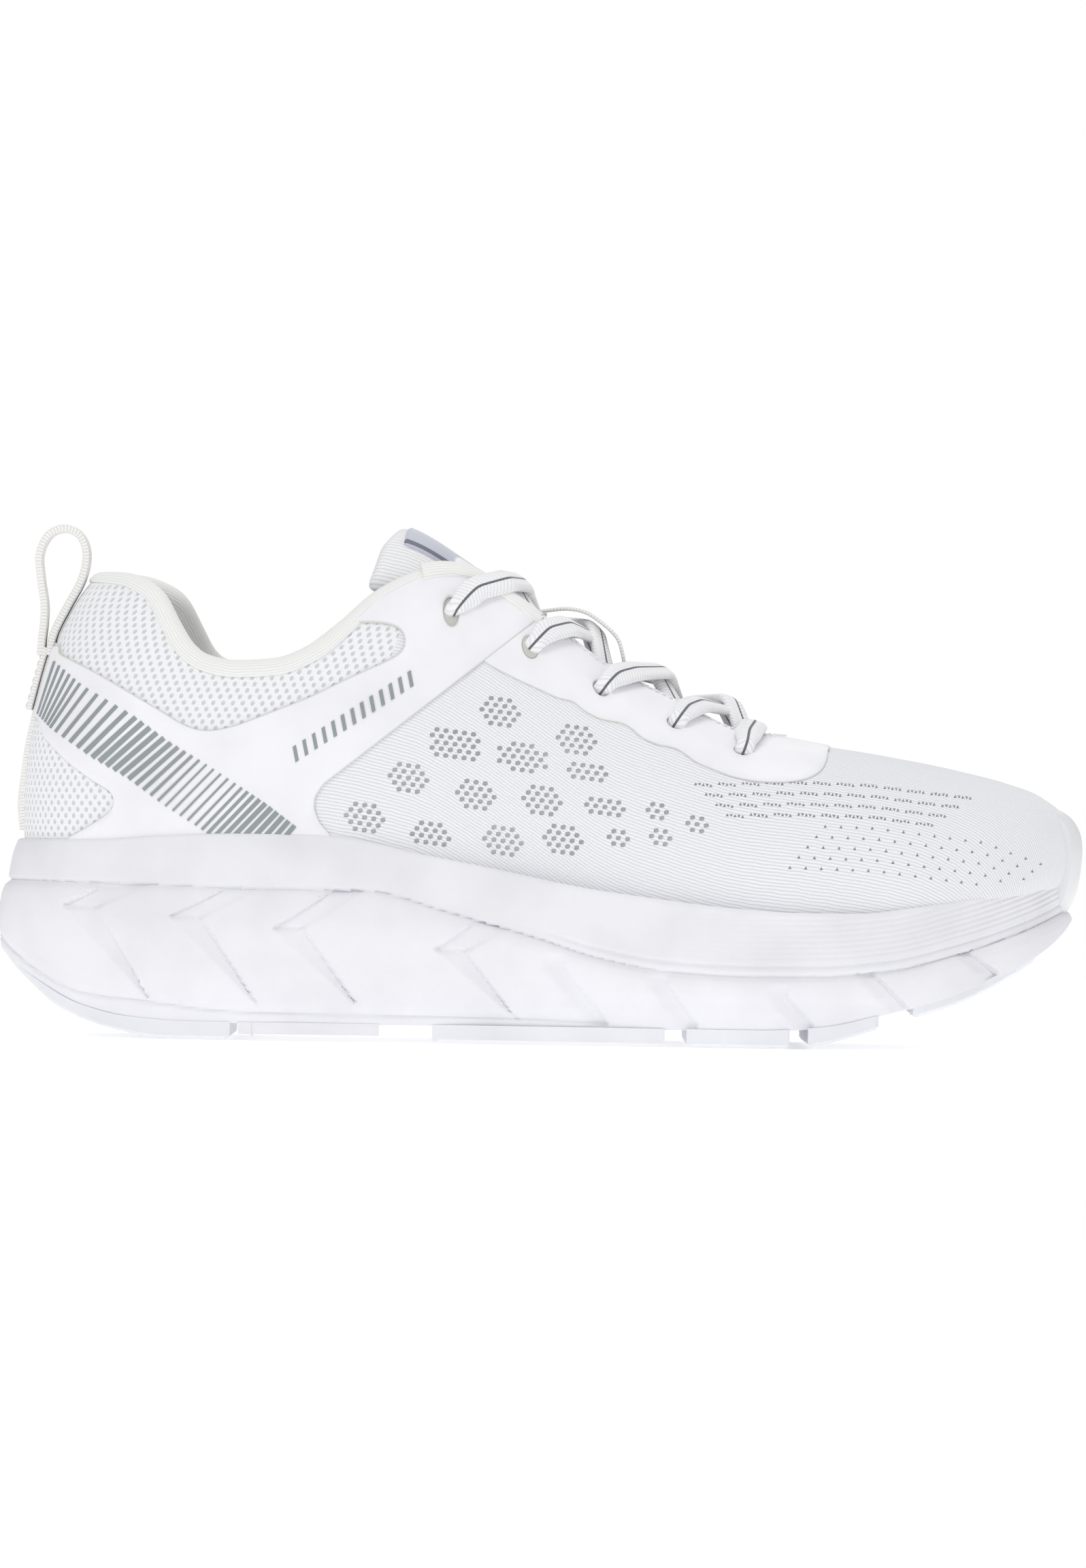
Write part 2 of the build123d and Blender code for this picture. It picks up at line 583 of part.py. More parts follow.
def crossing(row, side, height):
    """From under the eyestay at one row, across the tongue, to the throat's edge of the next row up."""
    start, end = EYELETS_X[row] + UNDER_EDGE_X, EYELETS_X[row - 1] + OVER_EDGE_X[row - 1]
    halfway = above(start - UNDER_EDGE_X / 2, (EYELET_Y[row] + EDGE_Y[row] - 1) / 2 * side, UNDER)
    return [halfway, above(start, (EDGE_Y[row] - 1) * side, UNDER), above((start + end) / 2, 0, height)]


def half_lace(side):
    """One half of the lace: from the middle of the front bar to the end of the tail inside the shoe."""
    points = []
    last = len(EYELETS_X) - 1
    for row in range(last, -1, -1):
        points += row_points(row, side)
        if row:
            points += crossing(row, side, HIGH_CROSSING if (row % 2 == 0) == (side < 0) else LOW_CROSSING)
            side = -side
    return points, side


def wall(x, z, side, inset):
    """A point inside the upper's wall at x and height z."""
    _, low, top, lateral, medial, wide, roundness = station_at(x)
    if z > wide:
        power, share = roundness, (z - wide) / (top - wide)
    else:
        power, share = SQUARE_BOTTOM, (wide - z) / (wide - low)
    half = (medial - lateral) / 2 - inset
    return Vector(x, (lateral + medial) / 2 + side * half * (1 - share**power) ** (1 / power), z)


def tail(side):
    route = [(-20, 102, 3.9), (-6, 78, 4.4), (16, 58, 5.4), (36, 50, 6.2), (52, 48, 7.0)]
    return [wall(x, z, side, inset) for x, z, inset in route]


def smooth_radii(points):
    """The largest bend that each corner's two runs leave room for."""
    radii = []
    for before, corner, after in zip(points, points[1:], points[2:]):
        turn = (corner - before).get_angle(after - corner)
        shorter = min((corner - before).length, (after - corner).length)
        radii.append(min(0.45 * shorter / tan(radians(turn) / 2), 40))
    return radii


left, left_side = half_lace(-1)
right, right_side = half_lace(1)
route = [*reversed(tail(left_side)), *reversed(left), *right, *tail(right_side)]
with BuildPart() as lace:
    with BuildLine() as lace_path:
        FilletPolyline(*route, radius=smooth_radii(route))
    with BuildSketch(Plane(lace_path.line @ 0, z_dir=lace_path.line % 0)):
        Circle(LACE_RADIUS)
    sweep()
save(lace, "lace")

AGLET_LENGTH, AGLET_RADIUS = 22.0, 1.5
for word, tip, before in (("lateral", route[0], route[1]), ("medial", route[-1], route[-2])):
    outward = (tip - before).normalized()
    with BuildPart() as aglet:
        with BuildSketch(Plane(tip + outward * 0.05, z_dir=outward)):
            Circle(AGLET_RADIUS)
        extrude(amount=AGLET_LENGTH)
        fillet(aglet.edges(), AGLET_RADIUS * 0.4)
    save(aglet, f"aglet_{word}")

KEEPER_HALF = 4.0
KEEPER_RISE = [(-1, -4.3), (4, 1.5), (7.5, 6.0), (17, 6.0), (20, 1.5), (24.5, -4.3)]
keeper_line = [above(x, 0, rise) for x, rise in KEEPER_RISE]
keeper_top = [above(x, 0, rise + 0.9) for x, rise in KEEPER_RISE]
with BuildPart() as lace_keeper:
    with BuildSketch(Plane.XZ.offset(-keeper_line[2].Y - KEEPER_HALF)):
        with BuildLine():
            Polyline(*[(p.X, p.Z) for p in [*keeper_line, *reversed(keeper_top)]], close=True)
        make_face()
    extrude(amount=2 * KEEPER_HALF)
save(lace_keeper, "lace_keeper")
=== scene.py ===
"""Running shoe, right foot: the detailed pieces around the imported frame.

Lengths in this file are millimetres in the shared frame: +X to the toe, -Y the lateral side, +Z up.
MM turns them into metres when a mesh is made. The upper's skin is unrolled onto a flat map, and each
piece of the upper is cut out on that map and laid back on the skin with its own thickness.
"""
from math import ceil, cos, pi, radians, sin, sqrt
import bpy
import numpy as np
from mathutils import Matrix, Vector
from mathutils.geometry import delaunay_2d_cdt


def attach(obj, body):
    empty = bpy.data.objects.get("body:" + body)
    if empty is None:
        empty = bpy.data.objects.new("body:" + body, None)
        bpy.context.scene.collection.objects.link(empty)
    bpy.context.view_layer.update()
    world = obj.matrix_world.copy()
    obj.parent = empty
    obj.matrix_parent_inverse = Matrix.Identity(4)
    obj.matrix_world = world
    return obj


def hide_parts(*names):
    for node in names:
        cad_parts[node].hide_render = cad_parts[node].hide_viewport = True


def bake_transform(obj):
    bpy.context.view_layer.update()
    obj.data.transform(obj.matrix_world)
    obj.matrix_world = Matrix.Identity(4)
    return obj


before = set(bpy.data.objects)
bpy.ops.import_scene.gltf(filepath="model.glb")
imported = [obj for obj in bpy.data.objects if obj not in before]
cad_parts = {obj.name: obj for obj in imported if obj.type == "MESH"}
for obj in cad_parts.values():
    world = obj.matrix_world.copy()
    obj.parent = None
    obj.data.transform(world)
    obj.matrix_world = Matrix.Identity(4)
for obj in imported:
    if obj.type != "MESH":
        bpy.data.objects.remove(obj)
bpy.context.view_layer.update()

MM = 0.001
LATERAL, MEDIAL = -1, 1
SIDES = ((LATERAL, "lateral"), (MEDIAL, "medial"))

# x, bottom z, top z, lateral y, medial y, z of the greatest width, roundness of the crown
STATIONS = np.array([
    (-144.0, 62.9, 63.1, -0.1, 0.1, 63.0, 2.0), (-143.4, 57.0, 70.0, -3.5, 3.5, 63.0, 2.0),
    (-142.3, 48.0, 79.0, -9.0, 9.0, 63.0, 2.0), (-139.5, 42.0, 92.0, -16.0, 16.0, 63.0, 2.1),
    (-134.0, 38.5, 111.0, -23.5, 23.5, 63.0, 2.1), (-124.0, 36.5, 127.0, -30.5, 30.5, 62.0, 2.1),
    (-108.0, 36.0, 139.0, -35.5, 35.5, 60.0, 2.2), (-85.0, 35.5, 147.0, -38.0, 37.5, 58.0, 2.2),
    (-60.0, 35.0, 150.0, -38.0, 36.0, 56.0, 2.2), (-38.0, 34.0, 146.0, -37.5, 34.0, 54.0, 2.2),
    (-18.0, 32.0, 135.0, -38.0, 33.5, 52.0, 2.2), (0.0, 30.0, 121.0, -39.5, 34.0, 50.0, 2.2),
    (18.0, 28.0, 106.3, -42.0, 36.0, 47.0, 2.2), (36.0, 26.5, 96.3, -45.0, 40.0, 44.0, 2.2),
    (54.0, 25.7, 87.8, -47.0, 44.5, 42.0, 2.2), (74.0, 25.7, 83.4, -47.5, 47.5, 41.0, 2.2),
    (95.0, 27.5, 80.2, -44.5, 48.0, 42.0, 2.2), (115.0, 31.8, 76.5, -36.5, 44.5, 44.0, 2.3),
    (130.0, 36.5, 72.8, -25.5, 37.0, 48.0, 2.4), (139.5, 41.0, 68.8, -13.5, 28.5, 52.0, 2.4),
    (144.8, 45.0, 64.3, -3.0, 20.0, 53.0, 2.3), (147.3, 49.0, 59.5, 3.5, 13.5, 53.0, 2.1),
    (148.0, 51.0, 56.0, 6.5, 10.5, 53.0, 2.0), (148.3, 52.9, 53.1, 8.4, 8.6, 53.0, 2.0),
])
SQUARE_BOTTOM = 3.0
TOPLINE = [(-128, 130), (-117, 129.2), (-109, 125.4), (-104, 117), (-99.5, 110), (-94, 106), (-85, 104.2),
           (-73, 105), (-64, 108.4), (-54, 116), (-45, 124.4), (-35, 129.6), (-27, 131.9), (-19, 131.2),
           (-10, 127)]
BAND_LINE = [(-152, 42.8), (-122, 42.3), (-75, 41.4), (-48, 41.2), (-25, 35.6), (1, 28.4), (16, 23.9),
             (36, 20.6),
             (56, 19.7), (75, 19.9), (95, 21.6), (114, 26.2), (134, 33), (152, 41.5)]
BITE_LINE = [(-152, 53.8), (-125, 54), (-106, 55.2), (-88, 56.2), (-67, 56.6), (-50, 55), (-35, 51.8),
             (-16, 48.2),
             (13, 42.6), (32, 40.1), (51, 38), (72, 36.9), (88, 37), (105, 39), (124, 42.4), (138, 45.5),
             (152, 49.5)]
MIDSOLE_BOTTOM = [(-151, 27), (-144.3, 19.5), (-137.6, 14.8), (-126, 8.6), (-112, 5.4), (-95, 4.4),
                  (0, 4.4),
                  (60, 4.4), (78, 5.6), (93, 9), (109.5, 13.4), (129, 22), (136, 26), (142, 31), (151, 41)]
SOLE_OUTLINE = [
    (-150, 0), (-142, -24), (-122, -39), (-95, -45.5), (-60, -45.5), (-20, -45.5), (20, -49.5), (55, -53.6),
    (85, -51.5), (110, -42.5), (130, -27.5), (143, -9), (148, 8), (143, 24.5), (130, 39.5), (110, 50),
    (82, 54),
    (55, 51.5), (20, 44), (-20, 41), (-60, 43), (-95, 45.5), (-122, 39), (-142, 24),
]


# ---------------------------------------------------------------- curves
def slopes(x, y):
    """Monotone slopes for a cubic through the points, so that it never overshoots them."""
    run = np.diff(x)
    rise = np.diff(y) / run
    result = np.zeros_like(y)
    result[0], result[-1] = rise[0], rise[-1]
    same = rise[:-1] * rise[1:] > 0
    before, after = 2 * run[1:] + run[:-1], run[1:] + 2 * run[:-1]
    mean = (before + after)[same] / (before[same] / rise[:-1][same] + after[same] / rise[1:][same])
    result[1:-1][same] = mean
    return result


def through(points, at):
    """A monotone cubic through (x, value) rows, read at the given x."""
    x, y = np.array(points, float).T
    at = np.clip(at, x[0], x[-1])
    slope = slopes(x, y)
    i = np.clip(np.searchsorted(x, at) - 1, 0, len(x) - 2)
    run = x[i + 1] - x[i]
    t = (at - x[i]) / run
    return ((2 * t**3 - 3 * t**2 + 1) * y[i] + (t**3 - 2 * t**2 + t) * run * slope[i]
            + (3 * t**2 - 2 * t**3) * y[i + 1] + (t**3 - t**2) * run * slope[i + 1])


def flowing(points, step, closed=False):
    """A smooth line through the points, sampled about every step."""
    points = np.array(points, float)
    if closed:
        points = np.vstack([points[-1], points, points[:2]])
    else:
        points = np.vstack([2 * points[0] - points[1], points, 2 * points[-1] - points[-2]])
    rows = []
    for a, b, c, d in zip(points, points[1:], points[2:], points[3:]):
        count = max(2, ceil(np.linalg.norm(c - b) / step))
        t = (np.arange(count) / count)[:, None]
        square, cube = 2 * a - 5 * b + 4 * c - d, 3 * b - a - 3 * c + d
        rows.append(0.5 * (2 * b + (c - a) * t + square * t**2 + cube * t**3))
    if not closed:
        rows.append(points[-2][None])
    return np.vstack(rows)


def lengths(line):
    """How far along a line each of its points is."""
    return np.concatenate([[0], np.cumsum(np.linalg.norm(np.diff(line, axis=0), axis=1))])


def evened(line, step, closed=False):
    """A sampled line, sampled again at even distances."""
    line = np.vstack([line, line[:1]]) if closed else np.asarray(line)
    far = lengths(line)
    count = max(3, round(far[-1] / step))
    at = np.linspace(0, far[-1], count + 1)
    even = np.stack([np.interp(at, far, column) for column in line.T], -1)
    return even[:-1] if closed else even


# ---------------------------------------------------------------- the upper's skin and its flat map
TABLE_X = np.arange(STATIONS[0, 0], STATIONS[-1, 0] + 0.05, 0.1)


def section_table():
    x, low, top, lateral, medial, wide, crown = STATIONS.T
    squares = [((medial - lateral) / 2) ** 2, (top - wide) ** 2, (wide - low) ** 2]
    plain = [(lateral + medial) / 2, wide, crown]
    rows = [np.sqrt(np.maximum(through(np.stack([x, c], -1), TABLE_X), 0.01)) for c in squares]
    return rows + [through(np.stack([x, c], -1), TABLE_X) for c in plain]


TABLE = section_table()
SPINE_BACK, SPINE_FRONT = -100.0, 100.0
MAP_RADIUS = 50.0


def section(x):
    """Half width, rise, fall, middle y, z of the greatest width, and crown roundness at x."""
    return [np.interp(x, TABLE_X, column) for column in TABLE]


def level(p):
    """Below zero inside the skin, above zero outside."""
    half, rise, fall, middle, wide, crown = section(p[..., 0])
    upper = p[..., 2] >= wide
    power = np.where(upper, crown, SQUARE_BOTTOM)
    tall = np.where(upper, rise, fall)
    return (np.abs(p[..., 1] - middle) / half) ** power + (np.abs(p[..., 2] - wide) / tall) ** power - 1


def skin_normal(p):
    """The direction out of the skin at each point, from the steepest rise of its level."""
    reach = 0.15
    steps = [level(p + reach * axis) - level(p - reach * axis) for axis in np.eye(3)]
    normal = np.stack(steps, -1)
    return normal / np.maximum(np.linalg.norm(normal, axis=-1, keepdims=True), 1e-9)


def spine(x):
    """The point of the skin's middle line that a ray to x starts from."""
    _, _, _, middle, wide, _ = section(x)
    return np.stack([x, middle, wide], -1)


def on_skin(mapped):
    """Points of the flat map, put back on the skin."""
    mapped = np.asarray(mapped, float)
    x = np.clip(mapped[..., 0], SPINE_BACK, SPINE_FRONT)
    flat = np.stack([mapped[..., 0] - x, mapped[..., 1]], -1)
    far = np.maximum(np.linalg.norm(flat, axis=-1), 1e-9)
    turn = far / MAP_RADIUS
    way = flat / far[..., None]
    ray = np.stack([np.sin(turn) * way[..., 0], np.sin(turn) * way[..., 1], np.cos(turn)], -1)
    origin = spine(x)
    low, high = np.zeros_like(far), np.full_like(far, 160.0)
    for _ in range(26):
        middle = (low + high) / 2
        inside = level(origin + ray * middle[..., None]) < 0
        low, high = np.where(inside, middle, low), np.where(inside, high, middle)
    return origin + ray * low[..., None]


def to_map(p):
    """Points in space, as seen from the spine, on the flat map."""
    p = np.asarray(p, float)
    x = np.clip(p[..., 0], SPINE_BACK, SPINE_FRONT)
    arm = p - spine(x)
    flat = np.linalg.norm(arm[..., :2], axis=-1)
    turn = np.arctan2(flat, arm[..., 2])
    way = arm[..., :2] / np.maximum(flat, 1e-9)[..., None]
    return np.stack([x + MAP_RADIUS * turn * way[..., 0], MAP_RADIUS * turn * way[..., 1]], -1)


def from_side(line, side):
    """Side-view points (x, z) on the skin's lateral or medial side, on the flat map."""
    x, z = np.asarray(line, float).T
    half, rise, fall, middle, wide, crown = section(x)
    upper = z >= wide
    power = np.where(upper, crown, SQUARE_BOTTOM)
    share = np.clip(np.abs(z - wide) / np.where(upper, rise, fall), 0, 1)
    y = middle + side * half * (1 - share**power) ** (1 / power)
    return to_map(np.stack([x, y, z], -1))


# ---------------------------------------------------------------- meshes
def make_mesh(name, points, faces, material, uv, angle):
    """A mesh object from points in millimetres, smooth except along edges sharper than the angle."""
    mesh = bpy.data.meshes.new(name)
    corners = [tuple(int(i) for i in face) for face in faces]
    mesh.from_pydata([tuple(p) for p in np.asarray(points) * MM], [], corners)
    mesh.validate()
    if uv is not None:
        layer = mesh.uv_layers.new(name="UVMap")
        corner = np.empty(len(mesh.loops), dtype=np.int32)
        mesh.loops.foreach_get("vertex_index", corner)
        layer.data.foreach_set("uv", (np.asarray(uv, float)[corner] * MM).astype(np.float32).ravel())
    mesh.shade_smooth()
    mesh.set_sharp_from_angle(angle=radians(angle))
    mesh.materials.append(material)
    piece = bpy.data.objects.new(name, mesh)
    bpy.context.scene.collection.objects.link(piece)
    return piece


def joined(parts):
    """Points and faces of several pieces as one."""
    points, faces, start = [], [], 0
    for some_points, some_faces in parts:
        points.append(some_points)
        faces += [[i + start for i in face] for face in some_faces]
        start += len(some_points)
    return np.vstack(points), faces


def grid_faces(rows, columns, round_rows=False, round_columns=False):
    """Quads of a rows x columns grid of points, with either direction closed if asked."""
    faces = []
    for r in range(rows if round_rows else rows - 1):
        for c in range(columns if round_columns else columns - 1):
            a, b = r * columns + c, r * columns + (c + 1) % columns
            d, e = ((r + 1) % rows) * columns + c, ((r + 1) % rows) * columns + (c + 1) % columns
            faces.append((a, b, e, d))
    return faces


def inside(points, loops):
    """Whether each point is inside an odd number of the loops."""
    result = np.zeros(len(points), bool)
    x, y = points.T
    for loop in loops:
        for (ax, ay), (bx, by) in zip(loop, np.roll(loop, -1, axis=0)):
            if ay == by:
                continue
            crosses = (ay > y) != (by > y)
            result ^= crosses & (x < ax + (y - ay) * (bx - ax) / (by - ay))
    return result


def signed_area(loop):
    x, y = loop.T
    return 0.5 * np.sum(x * np.roll(y, -1) - y * np.roll(x, -1))


def inward(loop):
    """The direction to the left of a closed loop at each point (inwards if it runs anticlockwise)."""
    along = np.roll(loop, -1, axis=0) - np.roll(loop, 1, axis=0)
    along /= np.maximum(np.linalg.norm(along, axis=1, keepdims=True), 1e-9)
    return np.stack([-along[:, 1], along[:, 0]], -1)


def moved_in(loop, distance):
    return loop + inward(loop) * distance


def near(points, others, reach):
    """Whether each point is nearer than reach to one of the others."""
    cells = {}
    for other in others:
        cells.setdefault((int(other[0] // reach), int(other[1] // reach)), []).append(other)
    result = np.zeros(len(points), bool)
    for i, p in enumerate(points):
        cx, cy = int(p[0] // reach), int(p[1] // reach)
        for dx in (-1, 0, 1):
            for dy in (-1, 0, 1):
                for other in cells.get((cx + dx, cy + dy), ()):
                    if (p[0] - other[0]) ** 2 + (p[1] - other[1]) ** 2 < reach * reach:
                        result[i] = True
    return result


ROW_SHARE = 0.866  # row spacing of even triangles over their side
CLEAR_SHARE = 0.55  # the grid's least distance from a loop, over its spacing


def cut_out(outer, holes, spacing, rim=0.0):
    """Triangles inside a loop and outside its holes.

    Returns points, triangles and each point's share of the rim: 0 on an edge, 1 inside.
    """
    if signed_area(outer) < 0:
        outer = outer[::-1]
    holes = [hole if signed_area(hole) < 0 else hole[::-1] for hole in holes]
    loops = [outer, *holes]
    rims = [moved_in(loop, rim) for loop in loops] if rim else []
    low, high = outer.min(axis=0), outer.max(axis=0)
    rows = np.arange(low[1], high[1], spacing * ROW_SHARE)
    columns = np.arange(low[0], high[0] + spacing, spacing)
    grid = np.array([(x + (0.5 * spacing if i % 2 else 0), y) for i, y in enumerate(rows) for x in columns])
    grid = grid[inside(grid, loops)]
    grid = grid[~near(grid, np.vstack(loops + rims), spacing * CLEAR_SHARE)]
    rim_points = np.vstack(rims) if rims else np.zeros((0, 2))
    points = np.vstack(loops + [rim_points, grid])
    edges, start = [], 0
    for loop in loops:
        count = len(loop)
        edges += [(start + i, start + (i + 1) % count) for i in range(count)]
        start += count
    out = delaunay_2d_cdt([Vector(p) for p in points], edges, [], 0, 1e-7)
    flat = np.array([tuple(p) for p in out[0]])
    faces = np.array([f for f in out[2] if len(f) == 3])
    faces = faces[inside(flat[faces].mean(axis=1), loops)]
    share = np.array([0.0 if ids and min(ids) < start else 1.0 for ids in out[3]])
    return flat, faces, share


def border(faces):
    """The directed edges that only one triangle uses."""
    seen = {}
    for a, b, c in faces:
        for edge in ((a, b), (b, c), (c, a)):
            seen[edge] = True
    return [edge for edge in seen if (edge[1], edge[0]) not in seen]


def sheet(flat, faces, top, bottom, place):
    """A closed sheet: the map's triangles at the top height, again at the bottom, and walls between."""
    count = len(flat)
    points = np.vstack([place(flat, top), place(flat, bottom)])
    walls = []
    for a, b in border(faces):
        walls += [(b, a, a + count), (b, a + count, b + count)]
    every = [tuple(f) for f in faces] + [(a + count, c + count, b + count) for a, b, c in faces] + walls
    return points, every


def upright(plan, height):
    """Plan points at their heights: the place for a sheet that isn't on the skin."""
    return np.column_stack([plan, height])


STRETCH_STEP = 5.0


def stretch_table():
    """How much longer the way down the skin is than on the flat map, at a grid of map points."""
    xs, ys = np.arange(-260, 261, STRETCH_STEP), np.arange(-190, 191, STRETCH_STEP)
    grid = np.stack(np.meshgrid(xs, ys, indexing="ij"), -1)
    base = np.stack([np.clip(grid[..., 0], SPINE_BACK, SPINE_FRONT), np.zeros(grid.shape[:2])], -1)
    steps = 14
    before, total = on_skin(base + (grid - base) * 1e-4), 0
    for k in range(1, steps + 1):
        here = on_skin(base + (grid - base) * k / steps)
        total = total + np.linalg.norm(here - before, axis=-1)
        before = here
    return xs, ys, total / np.maximum(np.linalg.norm(grid - base, axis=-1), 1e-6)


STRETCH_X, STRETCH_Y, STRETCH = stretch_table()


def skin_uv(mapped):
    """Lengths along the skin, in millimetres, for the fabric patterns."""
    i = np.clip((mapped[:, 0] - STRETCH_X[0]) / STRETCH_STEP, 0, len(STRETCH_X) - 1.001)
    j = np.clip((mapped[:, 1] - STRETCH_Y[0]) / STRETCH_STEP, 0, len(STRETCH_Y) - 1.001)
    a, b = i.astype(int), j.astype(int)
    s, t = i - a, j - b
    scale = (STRETCH[a, b] * (1 - s) * (1 - t) + STRETCH[a + 1, b] * s * (1 - t)
             + STRETCH[a, b + 1] * (1 - s) * t + STRETCH[a + 1, b + 1] * s * t)
    base = np.clip(mapped[:, 0], SPINE_BACK, SPINE_FRONT)
    return np.stack([base + (mapped[:, 0] - base) * scale, mapped[:, 1] * scale], -1)


# ---------------------------------------------------------------- materials
def tone(red, green, blue):
    """A display colour, 0 to 255, as the shader's linear one."""
    return tuple((c / 255) ** 2.2 for c in (red, green, blue)) + (1.0,)


def settle(node, values):
    """Sets a shader node's inputs by name."""
    for key, value in values.items():
        node.inputs[key].default_value = value


class Look:
    """A procedural material that is built up from a few patterns."""

    def __init__(self, name, colour, rough=0.6, sheen=0.0, specular=0.4, soft=0.0, glow=0.0):
        self.material = bpy.data.materials.new(name)
        self.material.use_nodes = True
        self.tree = self.material.node_tree
        self.shader = self.tree.nodes["Principled BSDF"]
        self.colour = tone(*colour)
        self.height = None
        self.tint = None
        settle(self.shader, {"Roughness": rough, "Specular IOR Level": specular, "Sheen Weight": sheen,
                             "Sheen Roughness": 0.5})
        if soft:
            settle(self.shader, {"Subsurface Weight": soft, "Subsurface Radius": (0.9, 0.9, 0.9),
                                 "Subsurface Scale": 0.002})
        if glow:
            settle(self.shader, {"Emission Color": (1, 1, 1, 1), "Emission Strength": glow})

    def node(self, kind, values, **settings):
        made = self.tree.nodes.new("ShaderNode" + kind)
        for key, value in settings.items():
            setattr(made, key, value)
        for key, value in values.items():
            if isinstance(value, bpy.types.NodeSocket):
                self.tree.links.new(value, made.inputs[key])
            else:
                made.inputs[key].default_value = value
        return made.outputs[0]

    def math(self, operation, *values):
        return self.node("Math", dict(enumerate(values)), operation=operation)

    def place(self, uv=True):
        """Where we are on the piece, in millimetres: along its UVs, or in space."""
        texture = self.tree.nodes.new("ShaderNodeTexCoord")
        point = texture.outputs["UV" if uv else "Object"]
        scaled = self.tree.nodes.new("ShaderNodeVectorMath")
        scaled.operation = "SCALE"
        scaled.inputs["Scale"].default_value = 1000
        self.tree.links.new(point, scaled.inputs[0])
        split = self.tree.nodes.new("ShaderNodeSeparateXYZ")
        self.tree.links.new(scaled.outputs[0], split.inputs[0])
        return scaled.outputs[0], split.outputs

    def noise(self, at, scale, detail=2.0):
        return self.node("TexNoise", {"Vector": at, "Scale": scale, "Detail": detail})

    def add_height(self, value, depth):
        scaled = self.math("MULTIPLY", value, depth)
        self.height = scaled if self.height is None else self.math("ADD", self.height, scaled)

    def darken(self, value, low, high, dark):
        """Towards a darker colour where value falls from high to low."""
        share = self.node("MapRange", {"Value": value, "From Min": low, "From Max": high})
        mixed = self.tree.nodes.new("ShaderNodeMix")
        mixed.data_type = "RGBA"
        self.tree.links.new(share, mixed.inputs[0])
        mixed.inputs[6].default_value = tone(*dark)
        if self.tint is None:
            mixed.inputs[7].default_value = self.colour
        else:
            self.tree.links.new(self.tint, mixed.inputs[7])
        self.tint = mixed.outputs[2]

    def done(self, strength=0.6):
        if self.height is not None:
            bump = self.tree.nodes.new("ShaderNodeBump")
            bump.inputs["Strength"].default_value = strength
            bump.inputs["Distance"].default_value = MM
            self.tree.links.new(self.height, bump.inputs["Height"])
            self.tree.links.new(bump.outputs[0], self.shader.inputs["Normal"])
        if self.tint is None:
            self.shader.inputs["Base Color"].default_value = self.colour
        else:
            self.tree.links.new(self.tint, self.shader.inputs["Base Color"])
        return self.material


def wave(look, axis, pitch, shift=0.0):
    """A smooth wave from 0 to 1 along an axis."""
    turned = look.math("ADD", look.math("MULTIPLY", axis, 2 * pi / pitch), shift)
    return look.math("MULTIPLY_ADD", look.math("SINE", turned), 0.5, 0.5)


def knit(name, colour, dark, row=0.95, stitch=1.1, depth=0.16, rough=0.85):
    """Rows of small knitted loops, with painted shade in the low places between them."""
    look = Look(name, colour, rough, sheen=0.25)
    at, (along, across, _) = look.place()
    warped = look.math("ADD", across, look.math("MULTIPLY", look.noise(at, 0.25), 0.7))
    rows = wave(look, warped, row)
    loops = wave(look, look.math("ADD", along, look.math("MULTIPLY", warped, stitch / (2 * row))), stitch)
    cloth = look.math("MULTIPLY", rows, look.math("MULTIPLY_ADD", loops, 0.45, 0.55))
    look.add_height(cloth, depth)
    look.add_height(look.noise(at, 3.0), 0.05)
    # painted shade: darker where the knit's height is low, between rows and loops
    look.darken(cloth, 0.05, 0.4, dark)
    return look.done()


def plain(name, colour, rough, grain=0.0, scale=2.0, edge_shade=None, **more):
    """One colour with a fine uneven grain in its height, a faint cloudiness and maybe painted shade along its
    cut edge.
    """
    look = Look(name, colour, rough, **more)
    at, _ = look.place(uv=False)
    if grain:
        look.add_height(look.noise(at, scale, 3.0), grain)
    cloud = look.noise(at, 0.05)
    look.darken(cloud, 0.25, 0.6, [c * 0.965 for c in colour])
    # painted shade: darker towards the film's cut edge, and fully over its side walls
    if edge_shade:
        edge = look.tree.nodes.new("ShaderNodeAttribute")
        edge.attribute_name = "from_edge"
        look.darken(edge.outputs["Fac"], 0.0, 0.9, edge_shade)
    return look.done(0.5)


def spacer_knit():
    """Mesh with staggered dimples, with painted shade in the bottom of each."""
    look = Look("spacer_mesh", (245, 246, 249), 0.85, sheen=0.25)
    _, (along, across, _) = look.place()
    pitch, row = 2.7, 1.75
    first = look.math("MULTIPLY", wave(look, along, pitch), wave(look, across, 2 * row))
    other = look.math("MULTIPLY", wave(look, along, pitch, pi), wave(look, across, 2 * row, pi))
    dimple = look.math("MAXIMUM", first, other)
    deep = look.node("MapRange", {"Value": dimple, "From Min": 0.62, "From Max": 0.93})
    look.add_height(deep, -0.5)
    thread = wave(look, look.math("ADD", across, look.math("MULTIPLY", along, 0.6)), 0.8)
    look.add_height(thread, 0.09)
    # painted shade in the bottom of each dimple
    look.darken(look.math("SUBTRACT", 1, deep), 0.0, 0.75, (216, 217, 219))
    return look.done(0.7)


LACE_RIB = 1.15


def lace_cord():
    """Ribbed cord with a dark line along its middle and painted shade between its ribs."""
    look = Look("lace_cord", (249, 249, 251), 0.85, sheen=0.3)
    _, (along, across, _) = look.place()
    slant = look.math("MULTIPLY", look.math("ABSOLUTE", across), 0.5)
    ribs = wave(look, look.math("ADD", along, slant), LACE_RIB)
    look.add_height(ribs, 0.14)
    # painted shade in the valleys between the ribs
    look.darken(ribs, 0.0, 0.5, (231, 231, 233))
    look.darken(look.math("ABSOLUTE", across), 0.3, 0.42, (104, 106, 112))
    return look.done()


